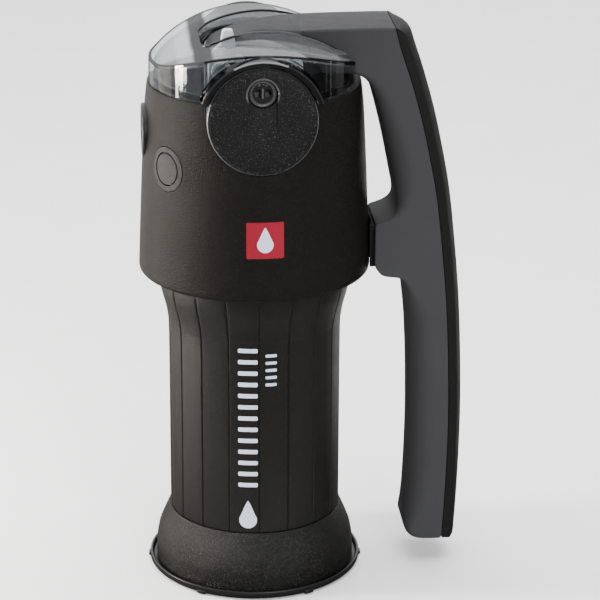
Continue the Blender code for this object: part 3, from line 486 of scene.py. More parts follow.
M = {
    "housing": moulded("housing_black", (0.0048, 0.0044, 0.0039), 0.33, 2400.0, 1.0, 0.24, 0.058, (0.0105, 0.0093, 0.0079), 0.5, (0.0056, 0.0050, 0.0043)),
    "disc": moulded("disc_black", (0.0052, 0.0052, 0.0054), 0.33, 2600.0, 1.0, 0.20, 0.10, (0.028, 0.028, 0.029), 0.5),
    "skirt": moulded("skirt_black", (0.0038, 0.0036, 0.0034), 0.24, 2200.0, 1.0, 0.40, 0.16, (0.0150, 0.0140, 0.0126), 0.7, (0.0046, 0.0044, 0.0041)),
    "fluted": moulded("fluted_black", (0.0063, 0.0061, 0.0057), 0.36, 2500.0, 1.0, 0.14, 0.12, (0.0120, 0.0112, 0.0100), 0.4, (0.0072, 0.0069, 0.0064)),
    "satin": moulded("satin_black", (0.0060, 0.0060, 0.0060), 0.34, 2400.0, 0.2, 0.04, 0.20),
    # a glossy finish with about eight times the disc's albedo: painted highlight for the rims and ring edges it is
    # given to
    "gloss_and_painted_highlight": moulded("gloss_black_and_painted_highlight", (0.040, 0.040, 0.041), 0.25, 1500.0, 0.08, 0.04, 0.5),
    "snap": moulded("snap_black", (0.0075, 0.0075, 0.0075), 0.22, 1500.0, 0.08, 0.04, 0.35),
    "grey": moulded("handle_grey", (0.0295, 0.0295, 0.0308), 0.50, 2400.0, 0.30, 0.05, 0.02, None, 0.3, (0.0312, 0.0312, 0.0326)),
    "grip": moulded("grip_rubber", (0.0066, 0.0065, 0.0063), 0.52, 2300.0, 0.5, 0.08, 0.037, (0.0120, 0.0116, 0.0112), 0.3),
    "pad": moulded("pad_rubber", (0.005, 0.005, 0.005), 0.66, 1800.0, 0.3, 0.06, 0.06),
    "seal": moulded("seal_rubber", (0.010, 0.010, 0.010), 0.52, 1500.0, 0.15, 0.05, 0.4),
    "silicone": moulded("red_silicone", (0.30, 0.045, 0.03), 0.45, 1200.0, 0.12, 0.05, 0.45),
    "white": moulded("white_acetal", (0.46, 0.485, 0.49), 0.34, 1500.0, 0.10, 0.04, 0.40, None, 0.3, (0.49, 0.515, 0.52)),
    "block": moulded("block_plastic", (0.30, 0.315, 0.32), 0.42, 1500.0, 0.18, 0.05, 0.4, None, 0.3, (0.34, 0.355, 0.36)),
    "steel": metal("stainless_steel", (0.62, 0.62, 0.63), 0.26),
    "paper": moulded("filter_paper", (0.66, 0.66, 0.61), 0.9, 1400.0, 0.6, 0.12, 0.2),
    "carbon": moulded("pressed_carbon", (0.012, 0.012, 0.012), 0.92, 900.0, 0.9, 0.25, 0.25, (0.04, 0.04, 0.04), 0.6),
    "ceramic": moulded("fired_ceramic", (0.70, 0.68, 0.63), 0.82, 1300.0, 0.5, 0.12, 0.3),
    "clear": clear("clear_cover_plastic", (0.79, 0.81, 0.82), (0.25, 0.26, 0.27)),
    "print": moulded("white_print", (0.42, 0.47, 0.55), 0.5, 1800.0, 0.12, 0.02, 0.2),
    "red": moulded("red_label", (0.172, 0.0062, 0.0155), 0.5, 1800.0, 0.12, 0.02, 0.08),
}


def trimmed(obj, chosen, mat="gloss_and_painted_highlight"):
    """Gives the faces picked by chosen(centre in mm) a second material, by default the lighter glossy one that paints
    highlights.
    """
    obj.data.materials.append(M[mat])
    for face in obj.data.polygons:
        if chosen(face.center / MM):
            face.material_index = 1
    return obj


def done(obj, mat, body, slot, *nodes):
    obj.data.materials.clear()
    obj.data.materials.append(M[mat])
    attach(obj, body)
    if nodes:
        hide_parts(*nodes)
    return obj


# ---- base cap ----------------------------------------------------------------------
cap = lathe(
    "base_cap_fine",
    [
        (0, 0), (CAP_R - 1.0, 0), (CAP_R, 0.9), (CAP_R, 2.7), (CAP_R - 0.9, 2.7), (CAP_R - 1.1, 1.0), (29.3, 1.0), (29.2, 4.6),
        (28.1, 4.6), (28.0, 1.0), (0, 1.0),
    ],
    180, radius=0.35,
)
nubs = []
for k in range(6):
    a = math.radians(56 + 60 * k)
    nub = block(f"nub_{k}", (-0.6, -1.6, 0.25), (0.58, 1.6, 1.4), 0.35)
    nub.data.transform(Matrix.Translation((CAP_R * math.cos(a) * MM, CAP_R * math.sin(a) * MM, 0)) @ Matrix.Rotation(a, 4, "Z"))
    nubs.append(nub)
done(union(cap, *nubs), "satin", "cap", "black_satin", "base_cap")

# ---- bottle adapter ------------------------------------------------------------------
skirt = [(p[0], p[1]) for p in cat(
    [(33.4, 1.75), (33.38, 5.0), (33.3, 7.9), (32.95, 10.1), (32.46, 12.4), (31.65, 14.6), (30.72, 16.8), (29.75, 19.0), (29.0, SKIRT_TOP - 0.15)], 44
)]
seam = [-90.9, -90.55, -90.3, -90.0, -89.7, -89.45, -89.1]


def parting(a, r, z):
    """A fine parting line down the skirt's front."""
    if r < 32.0 or z < 1.9 or z > 13.0:
        return r
    return r - 0.16 * max(0.0, 1.0 - abs(a + 90.0) / 0.5)


adapter = lathe(
    "bottle_adapter_fine",
    [(SKIRT_R - 0.35, 1.45)] + skirt + [
        (28.75, SKIRT_TOP + 0.2), (SPIGOT_R + 0.3, SKIRT_TOP + 0.2), (SPIGOT_R + 0.3, ADAPTER_FLOOR), (3.0, ADAPTER_FLOOR), (3.0, ADAPTER_FLOOR - 2.4),
        (24.0, ADAPTER_FLOOR - 2.4), (24.0, SOCKET_TOP), (SOCKET_R, SOCKET_TOP), (SOCKET_R, 1.75), (SOCKET_R + 0.3, 1.45),
    ],
    angles=sorted([a - 180 for a in full_circle(180) if abs(a - 90) > 1.1] + seam), shift=parting,
)
turns, per_turn = 1.4, 72
rings = []
for k in range(int(turns * per_turn) + 1):
    a = 2 * math.pi * (k + 0.4 * per_turn / 16) / per_turn
    z = 3.3 + THREAD_PITCH * k / per_turn
    share = min(1.0, k / 12, (turns * per_turn - k) / 12)
    crest = SOCKET_R - max(0.12, share * (SOCKET_R - THREAD_CREST_R))
    rings.append([
        (r * math.cos(a), r * math.sin(a), z + dz)
        for r, dz in ((SOCKET_R + 0.5, -0.95), (SOCKET_R + 0.5, 0.95), (crest + 0.25, 0.48), (crest, 0.28), (crest, -0.28), (crest + 0.25, -0.48))
    ])
done(union(adapter, skin("thread", rings)), "skirt", "adapter", "black_grained", "bottle_adapter")

# ---- fluted filter housing ---------------------------------------------------------------
GROOVES = [360 / FLUTES * k - 90 - 1.3 for k in range(FLUTES)]
fluted_angles = []
for g in GROOVES:
    fluted_angles += [g + off for off in (-0.95, -0.62, -0.3, -0.1, 0.1, 0.3, 0.62, 0.95, 2.5, 4.5, 6.5, 8.5, 10, 11.5, 13.5, 15.5, 17.5)]


def fluted(a, r, z):
    """V grooves down the outside, with the panels between them drawn slightly flat."""
    if z < FLUTED_BOTTOM - 0.01 or z > 104.0 or r < 28.0:
        return r
    off = min(abs(((a - g + 180) % 360) - 180) for g in GROOVES)
    fade = min(1.0, (104.0 - z) / 3.0)
    return r - fade * (0.42 * max(0.0, 1.0 - off / 0.75) ** 0.9 + 0.12 * off / 10.0)


wall = cat(
    [(FLUTED_R, 22.0), (FLUTED_R, 50.0), (FLUTED_R, 78.0), (28.72, 87.0), (28.93, 89.1), (29.2, 91.2), (29.65, 93.4), (30.2, 95.5), (30.75, 97.5),
     (31.2, 99.6), (31.45, 101.6), (NECK_R, 104.0)], 60
)
housing_profile = [(SPIGOT_R, 15.3), (SPIGOT_R, FLUTED_BOTTOM), (FLUTED_R - 0.3, FLUTED_BOTTOM), (FLUTED_R - 0.05, FLUTED_BOTTOM + 0.25)] + wall
housing_profile += [(NECK_R, NECK_TOP - 0.4), (NECK_R - 0.4, NECK_TOP), (NECK_R - 2.1, NECK_TOP), (NECK_R - 2.1, 100.5), (26.6, 92.0), (26.4, 17.5)]
housing_profile += [(4.6, 17.5), (4.6, 15.0), (SPIGOT_R - 0.3, 15.0)]
done(lathe("filter_housing_fine", housing_profile, angles=fluted_angles, shift=fluted, angle=28), "fluted", "filter_body", "fluted_black", "filter_housing")

# ---- upper housing ---------------------------------------------------------------------------
UPPER_LINE = [(38.02, 107.2), (37.98, 109.0), (37.82, 112.6), (37.43, 123.0), (36.9, 135.0), (36.4, 145.6), (35.83, 156.4), (35.42, 162.5), (34.95, 167.0), (34.62, UPPER_TOP - 0.2)]
upper_line = cat(UPPER_LINE, 48)
SKIN = [(0, UPPER_BOTTOM), (37.0, UPPER_BOTTOM), (37.55, 106.05), (37.9, 106.5)] + upper_line + [(34.5, UPPER_TOP), (0, UPPER_TOP)]


def radius_at(z):
    for (r0, z0), (r1, z1) in zip(upper_line, upper_line[1:]):
        if z0 <= z <= z1:
            return r0 + (r1 - r0) * (z - z0) / (z1 - z0)
    return upper_line[0][0] if z < upper_line[0][1] else upper_line[-1][0]


inner_top = 34.6 - UPPER_WALL
upper = lathe(
    "upper_housing_fine",
    SKIN[1:-1] + [
        (inner_top, UPPER_TOP), (36.4 - UPPER_WALL, 145.6), (37.43 - UPPER_WALL, 123.0), (37.6 - UPPER_WALL, BULKHEAD_Z + 2.0),
        (16.5, BULKHEAD_Z + 2.0), (16.5, BULKHEAD_Z), (NECK_R + 0.4, BULKHEAD_Z), (NECK_R + 0.4, 106.6), (NECK_R + 2.4, 106.6),
        (NECK_R + 2.4, BULKHEAD_Z), (38.0 - UPPER_WALL, BULKHEAD_Z), (38.0 - UPPER_WALL, UPPER_BOTTOM),
    ],
    192,
)
for sign in (-1, 1):
    seat = common(tube("seat", DISC_R + 1.9, 27.0, 36.2, (0, sign, 0), (0, 0, DISC_Z), 96), lathe("skin_a", SKIN, 192))
    union(upper, seat)
for sign in (-1, 1):
    combine(upper, tube("recess", DISC_R + 0.22, DISC_BACK - 0.3, 45, (0, sign, 0), (0, 0, DISC_Z), 128))
combine(upper, lathe("plug_hole", [(0, 29), (7.42, 29), (7.42, 42), (0, 42)], 72, (0, 0, PLUG_Z - 1.6), PLUG_DIR))
combine(upper, lathe("inlet_hole", [(0, 29), (8.95, 29), (8.95, 42), (0, 42)], 72, (0, 0, INLET_Z), (-1, 0, 0)))
for sx, sy in ((-1, -1), (1, -1), (-1, 1), (1, 1)):
    combine(upper, tube("screw_hole", 1.6, 110, 120, (0, 0, 1), (24 * sx, 9 * sy, 0), 24))
done(upper, "housing", "pump_body", "black_grained", "upper_housing")

plug = lathe(
    "valve_plug_fine",
    [
        (0, 30.0), (4.6, 30.0), (4.6, 33.4), (7.2, 33.4), (7.2, 40.0), (5.5, 40.0), (5.5, 35.2), (5.0, 35.2), (5.0, 40.0), (0, 40.0),
    ],
    96, (0, 0, PLUG_Z - 1.6), PLUG_DIR,
)
grown = [(r + 0.12 if r > 0 else 0, z) for r, z in SKIN]
done(common(plug, lathe("skin_b", grown, 192)), "disc", "pump_body", "black_grained", "valve_plug")

inlet = lathe(
    "inlet_port_fine",
    [
        (1.3, 24.0), (4.2, 24.0), (4.2, 26.0), (8.75, 26.0), (8.75, 36.2), (8.35, 36.6), (6.35, 36.6), (6.0, 36.25), (6.0, 28.0), (2.2, 28.0),
        (2.2, 31.2), (2.9, 31.2), (2.2, 33.0), (2.9, 33.0), (2.0, 35.2), (1.3, 35.2),
    ],
    96, (0, 0, INLET_Z), (-1, 0, 0), radius=0.22,
)
done(inlet, "satin", "pump_body", "black_satin", "inlet_port")

# ---- pivot discs and axle snaps ---------------------------------------------------------------
for side, sign in (("front", -1), ("rear", 1)):
    disc = lathe(
        "pivot_disc_fine_" + side,
        [(0, DISC_BACK), (DISC_R - 0.3, DISC_BACK), (DISC_R, DISC_BACK + 0.3), (DISC_R, 35.95), (DISC_R - 0.09, 36.2), (DISC_R - 0.32, 36.42),
         (DISC_R - 0.8, 36.62), (DISC_R - 1.6, 36.8), (DISC_R - 2.8, 36.93), (DISC_R - 4.4, DISC_FACE), (9.0, DISC_FACE), (0, DISC_FACE)],
        144, (0, 0, DISC_Z), (0, sign, 0), angle=50,
    )
    ring = lathe(
        "ring", [(PORT_R + 0.05, 34.0), (PORT_R + 0.62, 34.0), (PORT_R + 0.62, DISC_FACE + 0.10), (PORT_R + 0.46, DISC_FACE + 0.26), (PORT_R + 0.22, DISC_FACE + 0.26), (PORT_R + 0.05, DISC_FACE + 0.10)],
        96, (0, 0, PIVOT_Z), (0, sign, 0),
    )
    union(disc, ring)
    combine(disc, tube("port", PORT_R, 25, 45, (0, sign, 0), (0, 0, PIVOT_Z), 96))
    ramp_rings = []
    for x, z, d in ((PORT_R - 0.15, PIVOT_Z - 1.0, 1.25), (PORT_R - 0.15, PIVOT_Z - 16.0, 0.0)):
        ramp_rings.append([(-x, sign * (DISC_FACE + 1), z), (x, sign * (DISC_FACE + 1), z), (x, sign * (DISC_FACE - d), z), (-x, sign * (DISC_FACE - d), z)])
    combine(disc, skin("ramp", ramp_rings), angle=30)
    bead = [
        [(-PORT_R + 0.15 + dx, sign * (DISC_FACE - 0.35 + dy), z) for dx, dy in ((-0.24, 0), (-0.24, 0.36), (-0.13, 0.47), (0.02, 0.47), (0.1, 0.36), (0.1, 0))]
        for z in (PIVOT_Z - 1.9, PIVOT_Z - 15.2)
    ]
    done(skin("pivot_disc_bead_" + side, bead, 30), "disc", "pump_body", "black_grained")
    done(disc, "disc", "pump_body", "black_grained", "pivot_disc_" + side)
    # painted highlight: the disc's outer rim and the port ring's face take the lighter glossy material, for their lit
    # edges
    trimmed(disc, lambda p: math.hypot(p.x, p.z - DISC_Z) > DISC_R - 0.4 or (math.hypot(p.x, p.z - PIVOT_Z) < PORT_R + 0.7 and abs(p.y) > DISC_FACE + 0.05))

    snap = lathe(
        "axle_snap_fine_" + side,
        [(AXLE_R + 0.3, 18.9), (5.4, 18.9), (5.4, 21.2), (4.2, 21.2), (4.45, 33.0), (4.45, 35.3), (4.2, 35.75), (3.8, 35.95), (3.55, 35.7), (3.3, 35.35), (0, 35.35), (0, 31.0),
         (AXLE_R + 0.3, 31.0)],
        96, (0, 0, PIVOT_Z), (0, sign, 0),
    )
    low, high = sorted((sign * 32.5, sign * 45.0))
    for sx in (-1, 1):
        well = [(sx * 0.72, PIVOT_Z - 1.15), (sx * 0.72, PIVOT_Z + 1.35)] + [
            (sx * (0.72 + 2.05 * math.cos(math.radians(a))), PIVOT_Z + 0.1 + 1.75 * math.sin(math.radians(a))) for a in range(46, -47, -8)
        ]
        combine(snap, outline("well", [well], abs(high - low) / 2, mid=(low + high) / 2))
    low, high = sorted((sign * 35.0, sign * 36.1))
    union(snap, block("web", (-0.42, low, PIVOT_Z - 1.5), (0.30, high, PIVOT_Z + 1.6), 0.15))
    for dx, dz, s in ((-1.1, 2.75, 0.42), (0.15, 2.95, 0.36), (1.15, 2.7, 0.4)):
        union(snap, lathe("nib", [(0, 35.0), (s, 35.0), (s, 35.6), (s * 0.6, 35.75), (0, 35.75)], 20, (dx, 0, PIVOT_Z + dz), (0, sign, 0)))
    done(snap, "snap", "pump_body", "black_satin", "axle_snap_" + side)
    # painted highlight and shade: the snap's outer ring, the web's face and the nib tips take the lighter glossy
    # material, so the recessed centre and the pockets stay darker as shaded recesses
    trimmed(snap, lambda p: math.hypot(p.x, p.z - PIVOT_Z) > 3.4 or abs(p.y) > 35.5)


# ---- clear cover ------------------------------------------------------------------------------------
def roof(x, drop=0.0):
    base = 185.9 - 10.0 * (x / 34.0) ** 2
    k = 0.55
    return 177.3 + k * math.log1p(math.exp(min(40.0, (base - 177.3) / k))) - drop


def rim(x):
    return 188.6 - 0.0126 * (x - 3.0) ** 2


def arched(name, height, floor, reach=45):
    xs = [-40 + 80 * i / 120 for i in range(121)]
    return outline(name, [[(x, height(x)) for x in xs] + [(40, floor), (-40, floor)]], reach)


def slot_plan(grow, right, n=18):
    r, h = 6.0 + grow, SLOT_HALF + grow
    return [(right, -h), (right, h)] + arc(SLOT_LEFT - grow + r, h - r, r, 90, 180, n) + arc(SLOT_LEFT - grow + r, -(h - r), r, 180, 270, n)


cover = lathe("clear_cover_fine", [(0, COVER_BOTTOM), (COVER_R, COVER_BOTTOM), (COVER_R - 0.45, 192), (0, 192)], 192)
common(cover, arched("roof_form", roof, 160), solver="MANIFOLD")
cavity = lathe("cavity", [(0, COVER_BOTTOM - 1), (COVER_R - COVER_WALL, COVER_BOTTOM - 1), (COVER_R - COVER_WALL - 0.45, 192), (0, 192)], 192)
common(cavity, arched("ceiling_form", lambda x: roof(x, COVER_WALL), 160), solver="MANIFOLD")
combine(cover, cavity, solver="MANIFOLD")
collar = outline("collar", [slot_plan(1.2, 40)], 8.0, "XY", 188.5)
common(collar, arched("collar_form", rim, 160), solver="MANIFOLD")
common(collar, lathe("collar_bound", [(0, 165), (COVER_R - 1.0, 165), (COVER_R - 1.0, 195), (0, 195)], 192), solver="MANIFOLD")
union(cover, collar, solver="MANIFOLD")
union(cover, lathe("lip", [(30.9, 166.4), (inner_top - 0.4, 166.4), (inner_top - 0.4, 169.9), (33.0, 169.9), (33.0, 171.4), (30.9, 171.4)], 192), solver="MANIFOLD")
combine(cover, outline("slot_cut", [slot_plan(0.0, 60)], 25, "XY", 185), solver="MANIFOLD")
for sign in (-1, 1):
    hood = lathe(
        "hood", [(HOOD_IN - 1.5, 26.6), (HOOD_OUT, 26.6), (HOOD_OUT, HOOD_FACE - 0.5), (HOOD_OUT - 0.5, HOOD_FACE), (HOOD_IN - 1.5, HOOD_FACE)], 144,
        (0, 0, DISC_Z), (0, sign, 0),
    )
    combine(hood, block("hood_foot", (-30, -50, 120), (30, 50, 171.4)), solver="MANIFOLD")
    union(cover, hood, solver="MANIFOLD")
    combine(cover, lathe("mouth", [(0, 26.0), (HOOD_IN, 26.0), (HOOD_IN, HOOD_FACE - 0.35), (HOOD_IN + 0.35, HOOD_FACE + 0.01), (HOOD_IN + 0.35, 45), (0, 45)], 144, (0, 0, DISC_Z), (0, sign, 0)), solver="MANIFOLD")
done(cover, "clear", "cover", "clear_polycarbonate", "clear_cover")

# ---- handle ----------------------------------------------------------------------------------------------
# The side view as one outline. Each point: x, z, depth of the rounding into the
# side face, and the width of that rounding across the handle.
OUTER_EDGE = [
    (44.35, 187.95), (44.75, 186.2), (45.25, 184.2), (46.0, 181.3), (47.6, 176.6), (49.4, 171.3), (53.3, 157.6), (56.4, 143.6), (58.9, 130.1), (61.2, 110.5),
    (62.8, 93.0), (63.8, 74.0), (64.3, 54.0), (64.1, 37.0), (63.6, 22.0), (63.2, 14.5), (62.95, 9.4),
]
outer_edge = relaxed(even(cat(OUTER_EDGE, 400), 0.9), 12)


def keyed(points, step=0.8, relax=6):
    """A smooth run through (x, z, depth, width) key points."""
    return relaxed(even(cat(points, 60 * len(points)), step), relax)


top_run = keyed([(14.3, 187.8, 0.8, 0.8), (18.0, 187.95, 0.8, 0.8), (24.0, 188.08, 0.8, 0.8), (32.0, 188.15, 0.8, 0.8), (40.0, 188.2, 0.8, 0.8), (44.0, 188.1, 0.8, 0.8)])
outer_run = [(x, z, 0.12, 0.12) for x, z in outer_edge]
foot_run = keyed([(62.6, 8.75, 0.5, 0.5), (61.6, 8.45, 1.0, 1.0), (58.5, 8.4, 1.2, 1.2), (55.0, 8.55, 1.4, 1.6), (52.6, 9.3, 1.8, 2.4), (50.9, 11.0, 2.4, 3.4), (50.15, 13.2, 3.4, 4.8)], 0.6, 2)
grip_run = keyed([
    (50.15, 14.6, 4.2, 6.0), (50.3, 18.0, 5.8, 7.8), (50.6, 24.0, 7.4, 9.6), (51.0, 37.0, 8.4, 10.6), (51.2, 52.0, 8.6, 10.8), (50.9, 70.0, 8.6, 10.8),
    (50.2, 85.0, 8.2, 10.6), (49.75, 92.0, 6.6, 8.8), (49.5, 96.5, 4.0, 5.4), (49.3, 99.4, 2.2, 2.8),
])
horn_run = keyed([
    (49.15, 100.6, 1.6, 2.0), (48.7, 102.1, 1.1, 1.2), (47.4, 103.1, 0.8, 0.8), (45.6, 103.5, 0.7, 0.7), (43.2, 103.8, 0.6, 0.6), (41.6, 104.2, 0.6, 0.6),
    (40.5, 105.0, 0.6, 0.6), (39.5, 106.4, 0.6, 0.6),
], 0.5, 2)
end_run = [(x, z, 0.45, 0.45) for x, z in even([(39.0, 107.3), (38.75, 108.4), (38.75, 121.2), (39.0, 122.1)], 0.8)]
shelf_run = keyed([
    (39.8, 122.55, 0.6, 0.6), (41.4, 123.1, 0.7, 0.7), (43.1, 123.8, 0.9, 0.9), (44.6, 124.8, 1.2, 1.3), (45.6, 126.2, 1.9, 2.4), (45.95, 128.0, 3.2, 4.2),
    (45.75, 130.2, 4.8, 6.2), (45.2, 133.2, 6.4, 8.2),
], 0.5, 2)
throat_run = keyed([
    (44.6, 136.0, 7.2, 9.2), (43.6, 140.6, 7.9, 10.0), (41.7, 150.3, 7.2, 9.2), (39.3, 160.5, 5.6, 7.2), (37.9, 165.6, 4.2, 5.4), (37.0, 168.2, 3.2, 4.2),
    (35.7, 170.4, 2.4, 3.0), (34.0, 171.9, 1.8, 2.2), (31.6, 172.9, 1.4, 1.6), (28.0, 173.3, 1.2, 1.2), (22.4, 173.5, 1.0, 1.0),
])
back_run = [(20.6, 174.0, 0.5, 0.5), (19.0, 177.1, 0.5, 0.5), (17.3, 180.4, 0.5, 0.5), (15.6, 183.7, 0.5, 0.5), (14.4, 186.0, 0.5, 0.5)]
side_view = []
for run in (top_run, outer_run, foot_run, grip_run, horn_run, end_run, shelf_run, throat_run, back_run):
    for p in run:
        if not side_view or math.hypot(p[0] - side_view[-1][0], p[1] - side_view[-1][1]) > 0.12:
            side_view.append(p)
depths = relaxed([(p[2], p[3]) for p in side_view], 3, True)
side_view = [(p[0], p[1], *d) for p, d in zip(side_view, depths)]


def inward(points):
    """Unit normals into a clockwise outline, averaged over their neighbours."""
    n, found = len(points), []
    for i in range(n):
        a, b = Vector(points[i - 2][:2]), Vector(points[(i + 2) % n][:2])
        run = (b - a).normalized()
        found.append(Vector((run.y, -run.x)))
    return relaxed(found, 2, True)


def slab(name, points, half, steps=7, angle=32.0):
    """A thick plate from an outline whose edge rounding varies along it."""
    area = sum(a[0] * b[1] - b[0] * a[1] for a, b in zip(points, points[1:] + points[:1]))
    if area > 0:
        points = points[::-1]
    normals = [Vector(v).normalized() for v in inward(points)]
    bm = bmesh.new()
    rows = []
    for side in (-1, 1):
        made = []
        for k in range(steps + 2):
            a = math.radians(90 * min(k, steps) / steps)
            more = 0.25 if k > steps else 0.0
            made.append([
                bm.verts.new(((x + n.x * (d * (1 - math.cos(a)) + more)) * MM, side * (half - w + w * math.sin(a)) * MM, (z + n.y * (d * (1 - math.cos(a)) + more)) * MM))
                for (x, z, d, w), n in zip(points, normals)
            ])
        rows.append(made)
    n = len(points)
    lines = rows[0][::-1] + rows[1]
    for a, b in zip(lines, lines[1:]):
        for i in range(n):
            j = (i + 1) % n
            bm.faces.new((a[i], a[j], b[j], b[i]))
    for made in rows:
        last = made[-1]
        flat = [Vector((v.co.x, v.co.z, 0)) for v in last]
        for tri in tessellate_polygon([flat]):
            if len(set(tri)) == 3:
                try:
                    bm.faces.new([last[i] for i in tri])
                except ValueError:
                    pass
    closed_up(bm)
    return add_mesh(name, bm, angle)


core = slab("handle_core_fine", side_view, ARM_HALF)
HEAD_TOP = [
    (24.0, 187.9), (14.0, 187.8), (8.0, 187.75), (3.5, 187.55), (0.0, 187.25), (-3.0, 186.7), (-6.2, 185.65), (-8.2, 184.85), (-10.5, 183.9),
    (-13.0, 182.6), (-14.6, 181.1), (-15.6, 178.8), (-15.9, 176.0), (-15.5, 173.2), (-14.3, 171.3), (-12.6, 170.3),
]
head_line = relaxed(even(cat(HEAD_TOP, 400), 0.5), 6)


def head_top(x):
    for (x1, z1), (x0, z0) in zip(head_line, head_line[1:]):
        if x0 <= x <= x1:
            return z0 + (z1 - z0) * (x - x0) / max(x1 - x0, 1e-9)
    return head_line[0][1]


rocker_line = relaxed(
    head_line + even(cat([(-PIN_X, 170.05), (-5, 169.9), (0, 169.3), (6, 168.9), (PIN_X, 168.9), (16, 170.3), (20.5, 173.0), (26, 174.8)], 80), 0.7), 2
)
union(core, slab("rocker", [(x, z, 0.9, 0.9) for x, z in rocker_line], ROCKER_HALF, 5))
shoulders = []
for x, w in even(cat([(1.2, 7.3), (4.0, 8.35), (7.0, 9.55), (10.0, 10.55), (13.0, 11.15), (16.0, 11.34), (19.0, 11.36)], 90), 0.5):
    z, e = head_top(x), 0.85
    top_edge = arc(w - e, z - e, e, 0, 90, 6)
    shoulders.append([(x, y, h) for y, h in [(w, 182.4)] + top_edge + [(-a, b) for a, b in reversed(top_edge)] + [(-w, 182.4)]])
union(core, skin("shoulders", shoulders, 32))
combine(core, tube("rocker_bore", AXLE_R + 1.6, -12, 12, (0, 1, 0), (0, 0, PIVOT_Z), 48))
for name, sx in SIDE.items():
    combine(core, tube("pin_bore", PIN_R + 0.25, -12, 12, (0, 1, 0), (sx * PIN_X, 0, PIN_Z[name]), 32))
pad_pocket = common(
    block("pad_pocket", (30, -9.7, 106.6), (PAD_R + 2.6, 9.7, 121.2)), tube("pocket_round", PAD_R + 2.5, 90, 140, (0, 0, 1), (0, 0, 0), 360)
)
combine(core, pad_pocket)
done(core, "grey", "handle", "handle_grey", "handle_core")

# grip strip: flush sides, a crisp edge and a crowned back
STRIP_SIDE, STRIP_CROWN = 2.9, 5.55
lows = outer_edge
highs = []
for i, p in enumerate(lows):
    a, b = Vector(lows[max(0, i - 3)][:2]), Vector(lows[min(len(lows) - 1, i + 3)][:2])
    run = (b - a).normalized()
    normal = Vector((-run.y, run.x))
    if normal.x < 0:
        normal.negate()
    highs.append(tuple(Vector(p[:2]) + normal * STRIP_CROWN))
lead = [i for i, p in enumerate(lows) if p[1] > 182.0][-1]
wrap = even(cat([(44.5, 188.22), (46.2, 188.33), (47.9, 188.1), (49.5, 187.25), (50.6, 186.0), highs[lead]], 200), 0.1)
for i in range(lead + 1):
    highs[i] = wrap[min(len(wrap) - 1, round((i / lead) ** 0.85 * (len(wrap) - 1)))]
highs = relaxed(highs, 4)
strip_rings = []
last = len(lows) - 1
for i, (low, high) in enumerate(zip(lows, highs)):
    low, high = Vector(low[:2]), Vector(high[:2])
    across = high - low
    full = across.length
    unit = across.normalized()
    base = min(0.12, full * 0.2)
    edge = STRIP_SIDE * min(1.0, full / STRIP_CROWN)
    half = ARM_HALF + 0.02
    shape = [(base, -half + 0.15), (base + 0.12, -half), (edge - 0.22, -half), (edge - 0.04, -half + 0.08), (edge + 0.12, -half + 0.3)]
    for y in (-10.4, -9.2, -7.8, -6.2, -4.4, -2.4):
        shape.append((full - (full - edge) * (abs(y) / half) ** 2, y))
    shape = shape + [(full, 0.0)] + [(d, -y) for d, y in reversed(shape)]
    strip_rings.append([((low + unit * d).x, y, (low + unit * d).y) for d, y in shape])


def shrunk(ring, drop, pull):
    centre = Vector((sum(p[0] for p in ring) / len(ring), 0, sum(p[2] for p in ring) / len(ring)))
    return [tuple(Vector(p) + (centre - Vector(p)) * pull + Vector((0, 0, drop))) for p in ring]


strip_rings += [shrunk(strip_rings[-1], -0.45, 0.02), shrunk(strip_rings[-1], -0.8, 0.07), shrunk(strip_rings[-1], -0.95, 0.16)]
done(skin("handle_grip_strip_fine", strip_rings, 30), "grip", "handle", "grip_rubber", "handle_grip_strip")

pad = common(block("handle_stop_pad_fine", (30, -9.5, 106.8), (PAD_R + 2.4, 9.5, 121.0), 1.1), tube("pad_back", PAD_R + 2.35, 90, 140, (0, 0, 1), (0, 0, 0), 360))
combine(pad, tube("pad_front", PAD_R, 90, 140, (0, 0, 1), (0, 0, 0), 360))
done(pad, "pad", "handle", "grip_rubber", "handle_stop_pad")

